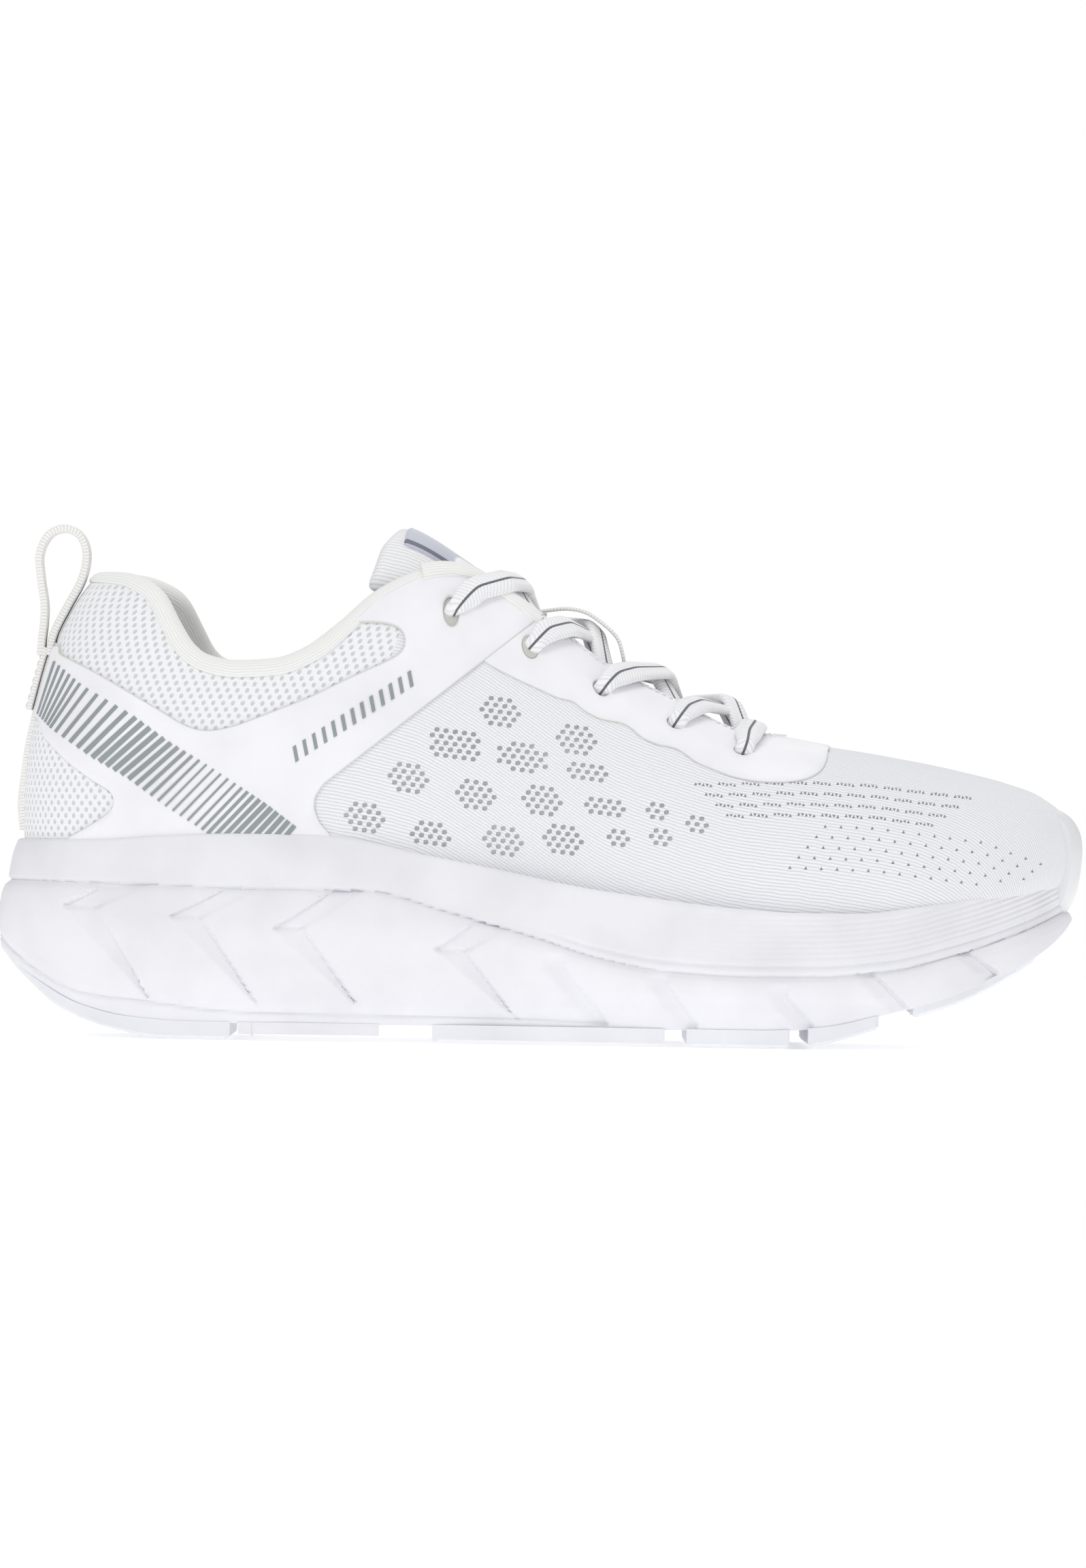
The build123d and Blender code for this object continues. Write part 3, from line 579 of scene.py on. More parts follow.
def twill(name, colour, dark, pitch=0.9, depth=0.12):
    """Fine slanted ribs, as on webbing and tape, with painted shade between the ribs."""
    look = Look(name, colour, 0.8, sheen=0.25)
    at, (along, across, _) = look.place()
    ribs = wave(look, look.math("ADD", along, look.math("MULTIPLY", across, 0.55)), pitch)
    cross = wave(look, across, pitch * 1.1)
    look.add_height(look.math("MULTIPLY", ribs, look.math("MULTIPLY_ADD", cross, 0.5, 0.5)), depth)
    look.add_height(look.noise(at, 2.0), 0.06)
    # painted shade in the valleys between the ribs
    look.darken(ribs, 0.0, 0.45, dark)
    return look.done()


FOAM = plain("foam", (237, 237, 242), 0.6, 0.14, 1.6, soft=0.05)
RUBBER = plain("rubber", (236, 237, 242), 0.5, 0.08, 1.2)
BUMPER = plain("bumper_rubber", (234, 236, 238), 0.4, 0.03, 0.8, soft=0.08)
VAMP = knit("vamp_knit", (244, 245, 249), (220, 221, 225))
SPACER = spacer_knit()
# the film's edge colour is painted shade along its cut edge and side walls
FILM = plain("overlay_film", (247, 247, 251), 0.45, 0.05, 1.1, edge_shade=(205, 205, 200))
PRINT = plain("grey_print", (150, 157, 160), 0.55, 0.03, 2.0)
BINDING = knit("binding_cloth", (247, 247, 245), (233, 233, 230), 0.75, 0.9, 0.1)
LINING = knit("lining_cloth", (245, 245, 247), (220, 221, 224), 1.1, 1.3, 0.14)
TONGUE = knit("tongue_mesh", (247, 247, 249), (224, 225, 228), 1.3, 1.6, 0.16)
# painted light: the liner's faint glow lifts it where it is seen through the vent holes, and its grey stands
# partly for shade inside the shoe
LINER = plain("vamp_liner", (208, 209, 212), 0.9, glow=0.1)
LABEL = plain("label_film", (198, 201, 214), 0.45, 0.03, 1.5)
LABEL_EDGE = plain("label_edge", (112, 116, 128), 0.5)
LACE = lace_cord()
AGLET = plain("aglet_plastic", (238, 240, 243), 0.25)
WEBBING = twill("webbing", (249, 248, 246), (222, 221, 217))
THREAD = plain("thread", (247, 246, 243), 0.8)
FOOTBED = knit("footbed_cloth", (228, 229, 232), (198, 200, 205), 1.4, 1.4, 0.12)


# ---------------------------------------------------------------- making a piece
def piece(name, shape, material, slot, body="shoe", replaces=(), angle=35):
    """One visible piece from its points, faces and maybe UVs. A piece with no body is left unattached."""
    points, faces, *uv = shape
    made = make_mesh(name, points, faces, material, uv[0] if uv else None, angle)
    if body:
        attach(made, body)
    if replaces:
        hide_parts(*replaces)
    return made


# ---------------------------------------------------------------- sole
LOWER_WALL = [(-2, 9.5), (4, 7.2), (10, 4), (20, 1.2), (31, 0), (41, 1.4), (52, 4.5)]
BAND_WALL = [(16, 1.6), (27, 1.8), (38, 2.2), (49, 3.7), (60, 8.5)]
LIP_LINE = [(-152, 30), (-146.3, 23.9), (-124.3, 11.9), (-106.1, 9.95), (-87.9, 8), (-55.9, 7.2),
            (-7.3, 6.9),
            (12.2, 6.2), (30, 5)]
# top end, corner and bottom end of each arrow's left and right edges
ARROWS = [
    ([(-119.3, 41.4), (-129.9, 36.1), (-105.9, 10)], [(-107.8, 41.5), (-121.7, 35.1), (-105.9, 10)]),
    ([(-86.2, 40.9), (-100.6, 33.9), (-76.6, 9.5)], [(-77.6, 41), (-92.7, 33.1), (-76.6, 9.5)]),
    ([(-56.4, 41.1), (-72.5, 30.9), (-48.7, 8.8)], [(-48.7, 41), (-64.9, 30.6), (-48.7, 8.8)]),
    ([(-18, 33), (-28.3, 25.8), (-5.5, 6.3)], [(-9.8, 31), (-20.4, 24.8), (-5.5, 6.3)]),
]
# top and bottom ends of each slanted groove of the forefoot
GROOVES = [[(5.1, 21.5), (17.4, 6)], [(33.5, 17.1), (41.9, 5.9)], [(66.4, 13.7), (73.2, 6.4)],
           [(89.9, 20.4), (99.7, 10.7)], [(115.4, 27.6), (124.2, 20.9)]]
SOLE_STEP = 0.6
outline = evened(flowing(SOLE_OUTLINE, 1.0, closed=True), SOLE_STEP, closed=True)
outline_in = inward(outline)


def ramp(value, low, high):
    """A smooth step from 0 at low to 1 at high."""
    share = np.clip((value - low) / (high - low), 0, 1)
    return share * share * (3 - 2 * share)


def crease(distance, width):
    """1 on a line, falling to 0 at the given distance to each side."""
    return np.exp(-(distance / width) ** 2)


def edge_x(line, z):
    """x of a side-view line at height z, for a line that falls from its first point to its last."""
    xs, zs = np.array(line, float)[::-1].T
    return np.interp(z, zs, xs)


def wall_relief(x, z):
    """How far the midsole's wall stands in from its plain surface, in millimetres."""
    band = through(BAND_LINE, x)
    lip = through(LIP_LINE, x)
    lower = z < band
    # the groove under the band, and the wall falling back towards it
    depth = 0.95 * crease(z - band + 0.5, 0.75) + 0.5 * ramp(z, band - 4, band - 0.7) * lower
    for left, right in ARROWS:
        top, corner, low = left[0][1], (left[1][1] + right[1][1]) / 2, left[2][1]
        a, b = edge_x(left, z), edge_x(right, z)
        share = (x - a) / np.maximum(b - a, 0.4)
        inside_arrow = ramp(share, -0.12, 0.06) * (1 - ramp(share, 0.94, 1.1))
        tall = ramp(z, low - 1, low + 3) * (1 - ramp(z, top - 0.4, top + 1)) * lower
        upper = ramp(z, corner - 1.5, corner + 1.5)
        cut = (0.15 + 1.15 * np.clip(share, 0, 1)) * (1 - upper) + (1.45 - 0.9 * np.clip(share, 0, 1)) * upper
        depth = depth + cut * inside_arrow * tall
        depth = depth + 0.5 * crease(z - corner, 0.5) * inside_arrow * lower
    for top, low in GROOVES:
        a = np.interp(z, [low[1], top[1]], [low[0], top[0]])
        share = (x - a + 3.4) / 5.0
        tall = ramp(z, low[1] - 4, low[1]) * (1 - ramp(z, top[1] + 1, top[1] + 4)) * lower
        depth = depth + 1.5 * ramp(share, -0.4, 0.75) * (1 - ramp(share, 0.85, 1.08)) * tall
    # the forefoot's lower step, then the lip's line behind it
    front = ramp(x, -4, 10)
    depth = depth + 0.55 * (1 - ramp(z, 11.5, 14.5)) * front * (1 - ramp(x, 92, 104))
    depth = depth + 0.75 * crease(z - lip, 0.5) * (1 - ramp(x, 10, 26))
    depth = depth + 0.35 * ramp(lip - z, -2.5, 0) * (1 - front)
    # the ridge over the band, and the fine ribs over the toe
    ridge = front * ~lower
    depth = depth + 0.5 * crease(z - band - 2.4, 0.45) * ridge
    ribs = np.sin((z - band) * 4.2) * ramp(z - band, 2.5, 4.5)
    depth = depth + 0.16 * ramp(x, 20, 130) * ridge * ribs
    return depth


def wall_inset(x, z):
    """How far inside the sole's outline the wall is, at side-view x and z."""
    band = through(BAND_LINE, x)
    share = ramp(z, band - 0.8, band + 0.1)
    return through(LOWER_WALL, z) * (1 - share) + through(BAND_WALL, z) * share


WALL_ROWS = 84
LIP_STEPS = ((0.25, 0.5), (0.75, 0.82), (1.5, 0.95), (3.0, 0.9), (7.0, 0.4), (9.0, -6.0))  # steps in and up
FLOOR_SHARES = (0.02, 0.3, 0.65, 1.0)
UNDERSIDE_SHARES = (1.0, 0.7, 0.45, 0.25, 0.12, 0.05, 0.015)


def midsole_shape():
    """The foam: its wall with the relief, the lip over it, the floor inside, and the underside."""
    bite = through(BITE_LINE, outline[:, 0])
    bottom = through(MIDSOLE_BOTTOM, outline[:, 0] * 0.99)
    rows = []
    for k in range(WALL_ROWS + 1):
        z = bottom + (bite - 0.9 - bottom) * k / WALL_ROWS
        at = outline
        for _ in range(3):
            inset = wall_inset(at[:, 0], z) + wall_relief(at[:, 0], z)
            at = outline + outline_in * inset[:, None]
        rows.append(np.column_stack([at, z]))
    last = rows[-1]
    for step_in, rise in LIP_STEPS:
        rows.append(last + np.column_stack([outline_in * step_in, np.full(len(outline), rise)]))
    middle = np.interp(outline[:, 0], [-150, 60, 150], [0, 0, 8])
    centre = np.column_stack([np.clip(outline[:, 0], -105, 100), middle])
    inner = rows[-1][:, :2]
    for share in FLOOR_SHARES:
        at = inner + (centre - inner) * share
        floor = np.minimum(through(STATIONS[:, [0, 1]], at[:, 0]) - 0.5, rows[-1][:, 2])
        rows.append(np.column_stack([at, floor]))
    foot = rows[0][:, :2]
    for share in UNDERSIDE_SHARES:
        at = foot + (centre - foot) * share
        rows.append(np.column_stack([at, through(MIDSOLE_BOTTOM, at[:, 0])]))
    grid = np.stack(rows)
    faces = grid_faces(len(rows), len(outline), True, True)
    return grid.reshape(-1, 3), faces


midsole = piece("midsole_foam", midsole_shape(), FOAM, "midsole_foam", angle=50,
                replaces=["midsole", "strobel_board"])

GROUND = [(-150, 24.5), (-140.5, 15), (-131, 7.6), (-117, 2.4), (-102, 0), (-60, 0), (0, 0), (60, 0),
          (70, 0.1),
          (80, 1.7), (91, 5), (101, 8.2), (113.5, 12.2), (128.5, 19.5), (143.7, 30.5), (150, 37)]
PAD_WALL = [(-2, 9.6), (4, 7.2), (12, 3.6), (22, 1.6), (36, 1.6)]


def slanted_block(x_range, lean, side_range):
    """Clips the sole's outline between two slanted ends and two lengthwise lines."""
    inset = through(PAD_WALL, through(MIDSOLE_BOTTOM, outline[:, 0]))
    line = outline + outline_in * inset[:, None]
    low = x_range[0] + lean[0] * np.abs(line[:, 1]) / 45
    high = x_range[1] + lean[1] * np.abs(line[:, 1]) / 45
    clipped = np.column_stack([np.clip(line[:, 0], low, high), np.clip(line[:, 1], *side_range)])
    keep = (line[:, 0] > low - 0.01) & (line[:, 0] < high + 0.01)
    keep &= (line[:, 1] >= side_range[0] - 0.01) & (line[:, 1] <= side_range[1] + 0.01)
    return clipped[keep]


def tread(x, y, pitch=9.0, width=2.2):
    """Depth share of the tread's grooves: V-shaped rows and one lengthwise line."""
    rows = np.abs(((x + np.abs(y) * 0.55) / pitch + 0.5) % 1 - 0.5) * pitch
    line = np.abs(np.abs(y) - 15)
    return np.maximum(1 - ramp(rows, width / 2 - 0.5, width / 2 + 0.5), 1 - ramp(line, 0.9, 1.8))


TREAD_DEPTH, TREAD_RIM, PAD_SINK = 1.7, 3.2, 0.35


def pad_piece(name, block, material, slot, replaces=(), lift=0.0):
    """A pad under the midsole, with a plain rim round its tread, sunk a little into the foam."""
    loop = evened(slanted_block(*block), 0.9, closed=True)
    flat, faces, share = cut_out(loop, [], 1.0, 0.9)
    x, y = flat.T
    cut = np.where(near(flat, loop, TREAD_RIM), 0, tread(x, y)) * TREAD_DEPTH
    under = through(GROUND, x) + lift + cut + np.where(share < 0.5, 0.75, 0)
    above = np.maximum(through(MIDSOLE_BOTTOM, x) + PAD_SINK, under + 0.4)
    piece(name, sheet(flat, faces, above, under, upright), material, slot, replaces=replaces, angle=40)


# name, x from the heel, lean of the two ends, y from the lateral side
PADS = [("heel_pad", (-148, -80), (0, -5), (-60, 60)), ("arch_pad_lateral", (-33, 38), (4, -3), (-60, -10)),
        ("arch_pad_medial", (-25, 38), (4, -3), (12, 60)), ("ball_rear_pad", (38, 71), (2, -2), (-60, 60)),
        ("ball_front_pad", (71, 95), (2, -2), (-60, 60)), ("toe_pad", (99, 136.5), (3, 0), (-60, 60))]
for name, *block in PADS:
    pad_piece(f"outsole_{name}", block, RUBBER, "outsole_rubber", replaces=[f"outsole_{name}"])
pad_piece("midsole_foam_pod", [(-79.5, -40), (-3, -3), (-60, -12)], FOAM, "midsole_foam", lift=0.7)

BUMPER_LINE = [(127, 20.5), (136.6, 25.4), (143.2, 33.6), (148.2, 41.7), (150, 51.6), (149.7, 58.7),
               (147, 63.6), (142.5, 66.4), (138, 67.2)]
BUMPER_MIDDLE, BUMPER_HALF, BUMPER_BACK = 8.0, 10.0, 4.0


def bumper_shape():
    """Rubber that wraps up round the toe, from under the sole to above the band."""
    profile = evened(flowing(BUMPER_LINE, 0.5), 0.7)
    inner = profile - (2.6, 0.6)
    count = len(profile)
    ends = np.interp(np.arange(count), [0, 2, count - 4, count - 1], [0.8, 0, 0, 1.2])
    rings = []
    for share in np.linspace(-1, 1, 61):
        y = np.full(count, BUMPER_MIDDLE + BUMPER_HALF * share)
        back = BUMPER_BACK * share * share
        rim = 1.1 * ramp(abs(share), 0.93, 1.0)
        outer = np.column_stack([profile[:, 0] - back - rim - ends * 0.6, y, profile[:, 1]])
        under = np.column_stack([inner[:, 0] - back, y, inner[:, 1]])
        rings.append(np.vstack([outer, under[::-1]]))
    points = np.concatenate(rings)
    faces = grid_faces(len(rings), 2 * count, False, True)
    for start, step in ((0, -1), (len(points) - 2 * count, 1)):
        ring = range(start, start + 2 * count)
        for i in range(count - 1):
            faces.append((ring[i], ring[i + 1], ring[-2 - i], ring[-1 - i])[::step])
    return points, faces


piece("toe_bumper", bumper_shape(), BUMPER, "bumper_rubber", replaces=["toe_bumper"], angle=50)


# ---------------------------------------------------------------- the upper's outlines on the flat map
def from_rear(line):
    """Rear-view points (y, z) on the back of the heel, on the flat map."""
    y, z = np.asarray(line, float).T
    low, high = np.full_like(y, STATIONS[0, 0]), np.full_like(y, -90.0)
    for _ in range(30):
        middle = (low + high) / 2
        outside = level(np.stack([middle, y, z], -1)) > 0
        low, high = np.where(outside, middle, low), np.where(outside, high, middle)
    return to_map(np.stack([high, y, z], -1))


def crown_point(x, y):
    """Points on top of the skin at x and y."""
    half, rise, _, middle, wide, roundness = section(np.asarray(x, float))
    share = np.clip(np.abs(np.asarray(y, float) - middle) / half, 0, 0.999)
    z = wide + rise * (1 - share**roundness) ** (1 / roundness)
    return np.stack([np.broadcast_to(x, z.shape), np.broadcast_to(y, z.shape), z], -1)


def over(line):
    """Plan-view points (x, y) on top of the skin, on the flat map."""
    x, y = np.asarray(line, float).T
    return to_map(crown_point(x, y))


def softened(loop, passes):
    """A closed loop with its corners eased."""
    for _ in range(passes):
        loop = (np.roll(loop, 1, axis=0) + 2 * loop + np.roll(loop, -1, axis=0)) / 4
    return loop


def collar_top(x, side):
    """Height of the topline. On the medial side it stays high for a little longer behind the ankle."""
    forward = 4.5 * crease(x + 102, 13) if side > 0 else 0.0
    return through(TOPLINE, x - forward)


def heel_reach(drop):
    """x where the lowered topline crosses the middle of the heel."""
    xs = np.linspace(-132, -100, 3200)
    _, rise, _, _, wide, _ = section(xs)
    return xs[np.argmax(wide + rise >= collar_top(xs, LATERAL) - drop)]


THROAT = [(-60, -17), (-12, -17), (30, -15), (55, -14), (65, -2), (55, 10.5), (30, 11), (-12, 13),
          (-60, 13)]
THROAT_CORNER = -25.0


def throat_edge(back=THROAT_CORNER):
    """The throat's edge in plan, from its lateral back corner round the front to its medial one."""
    line = evened(flowing(THROAT, 0.5), 0.8)
    return line[line[:, 0] > back]


def topline(side, drop, front=THROAT_CORNER - 1):
    """One side of the lowered topline on the map, from its front end to the middle of the heel."""
    back = heel_reach(drop)
    xs = back + (front - back) * np.linspace(1, 0, 240) ** 2
    return from_side(np.column_stack([xs, collar_top(xs, side) - drop]), side)


def opening(drop):
    """The loop of the foot's opening and the throat together."""
    lateral, medial = topline(LATERAL, drop), topline(MEDIAL, drop)
    return evened(np.vstack([over(throat_edge()[::-1]), lateral, medial[::-1][1:]]), 0.9, closed=True)


def around(height):
    """A loop round the upper at a height over the bite line."""
    xs = 2.1 + 143.5 * np.sin(np.linspace(-1, 1, 500) * pi / 2)
    lowest, highest = through(STATIONS[:, [0, 1]], xs) + 0.5, through(STATIONS[:, [0, 2]], xs) - 0.5
    line = np.column_stack([xs, np.clip(through(BITE_LINE, xs) + height, lowest, highest)])
    lateral, medial = from_side(line, LATERAL), from_side(line, MEDIAL)
    return evened(np.vstack([lateral, medial[::-1][1:-1]]), 1.4, closed=True)


def lay(flat, heights):
    """Map points on the skin, standing off it by the heights."""
    points = on_skin(flat)
    return points + skin_normal(points) * np.asarray(heights, float).reshape(-1, 1)


def fabric(name, outer, holes, spacing, top, bottom, material, slot, rim=0.0, edge_drop=0.0, bulge=None,
           **more):
    """A piece of the upper cut out on the map: a sheet between two heights over the skin, its edges eased."""
    flat, faces, share = cut_out(outer, holes, spacing, rim)
    heights = np.full(len(flat), float(top))
    if bulge is not None:
        heights = heights + bulge(flat)
    heights = heights - edge_drop * (1 - share)
    points, every = sheet(flat, faces, heights, np.full(len(flat), float(bottom)), lay)
    mapped = skin_uv(flat)
    made = piece(name, (points, every, np.vstack([mapped, mapped])), material, slot, angle=50, **more)
    # each point's share of the rim, read by the film's material to paint shade along its cut edge; the
    # bottom's points are all 0
    marks = np.concatenate([share, np.zeros(len(points) - len(share))]).astype(np.float32)
    made.data.attributes.new("from_edge", "FLOAT", "POINT").data.foreach_set("value", marks)
    return made


def circle(centre, radius, count=20):
    turn = np.arange(count) * 2 * pi / count
    return centre + radius * np.column_stack([np.cos(turn), np.sin(turn)])


# ---------------------------------------------------------------- base fabric
EYELETS_X = [-25.8, -4.0, 15.6, 36.0, 54.5]
EYELET_Y = [25.6, 24.4, 23.8, 25.0, 26.5]
VENTS = [(-11.8, 90.6, 12.6, 9.2), (-24, 81.5, 15, 9.2), (-5.5, 78.2, 15, 8.4), (9.2, 83.3, 12.6, 6.7),
         (-36.6, 72.1, 13.5, 9.2), (-18.1, 67.8, 13.5, 8.4), (0, 66.5, 11.8, 8), (12.3, 74.5, 10.9, 5.9),
         (17.2, 65, 10.9, 5.9), (31.5, 64.1, 7.6, 5), (42.4, 60.7, 6.7, 3.4), (-48.4, 61.1, 13.5, 9.2),
         (-30.3, 56.2, 13.9, 8.4), (-10.5, 55.3, 13.5, 8.4), (5.9, 55.9, 11.8, 8), (21, 56.6, 8.4, 5.5),
         (32.5, 57, 6.7, 3.4)]
SEAM = [(-80, 30), (-20, 150)]
HOLE = 0.68
HOLE_PITCH, HOLE_ROW = 2.5, 1.7
EYELET_RADIUS = 2.15


def seam_x(z):
    """x of the seam between the vamp and the heel at height z."""
    (x, low), (end_x, high) = SEAM
    return x + (z - low) * (end_x - x) / (high - low)


def cluster_holes():
    """Side-view outlines of the staggered holes in the oval clusters."""
    square = HOLE * np.array([(-1, -0.75), (0.1, -1), (1, -0.55), (0.95, 0.75), (-0.1, 1), (-1, 0.6)])
    for x, z, wide, tall in VENTS:
        for row in range(-5, 6):
            for column in range(-5, 6):
                dx = column * HOLE_PITCH + (HOLE_PITCH / 2 if row % 2 else 0)
                dz = row * HOLE_ROW
                at = x + dx, z + dz - 0.12 * dx
                in_cluster = (2 * dx / (wide - 0.6)) ** 2 + (2 * dz / (tall + 0.8)) ** 2 <= 1
                if in_cluster and at[1] > through(BITE_LINE, at[0]) + 2.2:
                    yield square + at


def toe_holes():
    """Side-view outlines of the rows over the toe: zigzags of small teeth above, single slits below."""
    tooth = np.array([(-0.5, -0.42), (0.5, -0.42), (0.05, 0.5)])
    for row in range(9):
        toothed = row < 4
        count, pitch, shift, clear = (16, 6.5, 2.9, 9) if toothed else (24, 4.3, 1.9, 2.6)
        for column in range(count):
            x = 44 + column * pitch + row * shift
            z = np.interp(x, [30, 68, 91, 121, 140], [71, 72.5, 72, 68.5, 62]) - row * 2.9
            spread = x < 122 - row * 4 if toothed else x > 66 + (8 - row) * 2.5
            if x < 140 and z > through(BITE_LINE, x) + clear and spread:
                for k in range(-2, 3) if toothed else (0,):
                    yield tooth * (1, -1 if k % 2 else 1) + (x + k * 1.05, z - 0.1 * k)


def vent_holes():
    """All the small holes, on both sides of the shoe."""
    shapes = [*cluster_holes(), *toe_holes()]
    return [from_side(shape, side) for side in (LATERAL, MEDIAL) for shape in shapes]


def middle_y(x):
    return float(section(x)[3])


def eyelet_loops(side, rows=range(5)):
    spots = [(EYELETS_X[i], middle_y(EYELETS_X[i]) + side * EYELET_Y[i]) for i in rows]
    return [circle(over([spot])[0], EYELET_RADIUS) for spot in spots]


def soft_rise(flat):
    """Slow waves and small unevenness, as in cloth over a last."""
    return 0.14 * np.sin(flat[:, 0] * 0.13 + flat[:, 1] * 0.05) * np.sin(flat[:, 1] * 0.11) - 0.1


def heel_uv(points):
    """Lengths round the heel at each point's height, from the back's middle, and the heights."""
    xs = np.concatenate([np.linspace(-144, -130, 120), np.arange(-129.5, 20, 0.5)])
    half, rise, _, _, wide, roundness = section(xs)
    step = 3.0
    heights = np.arange(40.0, 146.0, step)
    table = []
    for z in heights:
        share = np.clip(np.where(z > wide, (z - wide) / rise, 0), 0, 1)
        reach = half * (1 - share**roundness) ** (1 / roundness)
        far = np.concatenate([[0], np.cumsum(np.hypot(np.diff(xs), np.diff(reach)))])
        table.append(far - (xs - xs[0])[np.argmax(reach > 0.5)])
    i = np.clip((points[:, 2] - heights[0]) / step, 0, len(heights) - 1.001)
    around_heel = []
    for x, low, share in zip(points[:, 0], i.astype(int), i % 1):
        around_heel.append(np.interp(x, xs, table[low] * (1 - share) + table[low + 1] * share))
    return np.column_stack([around_heel, points[:, 2]])


def behind_seam(flat, faces):
    """Whether each triangle lies behind the seam between the vamp and the heel."""
    middle = on_skin(flat)[faces].mean(axis=1)
    return middle[:, 0] < seam_x(middle[:, 2])


def part_of(flat, faces):
    """The map points that some of the triangles use, and those triangles, renumbered."""
    used, order = np.unique(faces, return_inverse=True)
    return flat[used], order.reshape(-1, 3)


VAMP_NODES = ["vamp_mesh", "toe_puff", "eyestay_backing_lateral", "eyestay_backing_medial"]
HEEL_NODES = ["heel_quarter_lateral", "heel_quarter_medial", "heel_counter"]


def base_fabric():
    """The knitted vamp and the heel's spacer mesh, with the eyelets and the vents cut through."""
    holes = [opening(2.6), *eyelet_loops(LATERAL), *eyelet_loops(MEDIAL), *vent_holes()]
    flat, faces, _ = cut_out(around(-3.5), holes, 1.5)
    rear = behind_seam(flat, faces)
    for name, chosen, material, nodes in (("vamp_knit", ~rear, VAMP, VAMP_NODES),
                                          ("heel_mesh", rear, SPACER, HEEL_NODES)):
        part, triangles = part_of(flat, faces[chosen])
        heights = soft_rise(part)
        points, every = sheet(part, triangles, heights, heights - 0.6, lay)
        pattern = heel_uv(on_skin(part)) if name == "heel_mesh" else skin_uv(part)
        shape = points, every, np.vstack([pattern, pattern])
        piece(name, shape, material, "upper_mesh", replaces=nodes, angle=50)


def vamp_liner():
    """A thin light grey layer behind the vamp, seen through its holes. Its grey stands partly for shade
    inside the shoe, and its faint glow is painted light.
    """
    flat, faces, _ = cut_out(around(-3.5), [opening(3.4)], 3.2)
    part, triangles = part_of(flat, faces[~behind_seam(flat, faces)])
    piece("vamp_liner", sheet(part, triangles, -1.1, -1.5, lay), LINER, "lining_cloth", angle=50)


base_fabric()
vamp_liner()

# ---------------------------------------------------------------- overlays
X_FRONT = [(0.5, 118.2), (-3.6, 114.6), (-31.5, 92.4), (-59.8, 70), (-62, 66.5), (-62.2, 63.2),
           (-60.6, 59.4),
           (-57.9, 56.6), (-55, 52)]
X_HEEL_WINDOW = [(-129.9, 51.5), (-129.9, 54), (-124.1, 57.5), (-118.4, 61.4), (-116.9, 64.3),
                 (-118.4, 67.2),
                 (-123.2, 70), (-130.9, 75.6), (-137, 81.7)]
X_UPPER_WINDOW = [(-133.5, 104.9), (-121.3, 98.8), (-104.9, 89.5), (-98.2, 85.7), (-92.4, 84.2),
                  (-84.8, 85.5),
                  (-73.2, 90), (-63.6, 94), (-54, 98.9), (-43.4, 103.9), (-39.4, 106.3), (-38.0, 109),
                  (-38.9, 112), (-41.5, 113.6), (-46, 114.3), (-52, 114.2)]
EYESTAY_LOW = [(-24, 122), (-20, 108), (-16, 103.8), (-7.9, 99.6), (-1.3, 96.7), (4.3, 94.3), (8.1, 93.6),
               (10.6, 91.4), (15.6, 88.9), (20.7, 88), (23.7, 86.8), (26.9, 84), (31.6, 82), (35.4, 81.4),
               (38.4, 80), (42, 77.4), (46.7, 75.6), (51.4, 73.9), (58, 72.6), (65.5, 72.3), (72, 73.2),
               (76.3, 75.5), (78.2, 78.9), (78.7, 81.7)]
HEEL_NOTCH = [(12, 86.5), (5.4, 87.5), (5.4, 97), (5.4, 106.8), (12, 106.9)]
FILM_TOP, FILM_BOTTOM = 0.62, -0.3
EASED = {"rim": 0.45, "edge_drop": FILM_TOP * 0.55, "bulge": soft_rise}


def x_overlay(side):
    """The large overlay of one side: under the collar, down to the sole, and round its two windows."""
    edge = throat_edge()
    edge = edge[(edge[:, 1] < -2) if side < 0 else (edge[:, 1] > -2)]
    edge = edge[edge[:, 0] < 0.5]
    if edge[0, 0] > edge[-1, 0]:
        edge = edge[::-1]
    top = topline(side, 2.6)
    end = from_side([(-53.0, collar_top(np.array([-53.0]), side)[0] - 2.6)], side)[0]
    stop = np.argmin(np.linalg.norm(top - end, axis=1))
    parts = [top[:stop + 1][::-1], over(edge), from_side(evened(np.array(X_FRONT), 1.2), side),
             from_side([(x, through(BITE_LINE, x) - 3) for x in np.arange(-56, -129, -3.0)], side),
             from_side(evened(flowing(X_HEEL_WINDOW, 1.2), 1.2), side),
             from_rear([(side * y, z) for y, z in HEEL_NOTCH]),
             from_side(evened(flowing(X_UPPER_WINDOW, 1.0), 1.2), side)]
    return softened(evened(np.vstack(parts), 1.0, closed=True), 1)


def eyestay_loop():
    """The overlay round the throat, from its scalloped lower edges to the throat's edge."""
    low = evened(flowing(EYESTAY_LOW, 1.2), 1.2)
    front = over([(79.3 - 0.0015 * y * y, y) for y in np.linspace(-15, 15, 12)])
    parts = [from_side(low, LATERAL), front, from_side(low, MEDIAL)[::-1], over(throat_edge()[::-1])]
    return softened(evened(np.vstack(parts), 1.0, closed=True), 1)


for side, word in SIDES:
    fabric(f"side_overlay_{word}", x_overlay(side), eyelet_loops(side, [0, 1]), 2.2, FILM_TOP + 0.3,
           FILM_BOTTOM, FILM, "overlay_film", replaces=[f"side_overlay_{word}"], **EASED)
fabric("eyestay_overlay", eyestay_loop(), eyelet_loops(LATERAL) + eyelet_loops(MEDIAL), 2.2, FILM_TOP - 0.05,
       FILM_BOTTOM, FILM, "overlay_film", replaces=["eyestay_overlay"], **EASED)

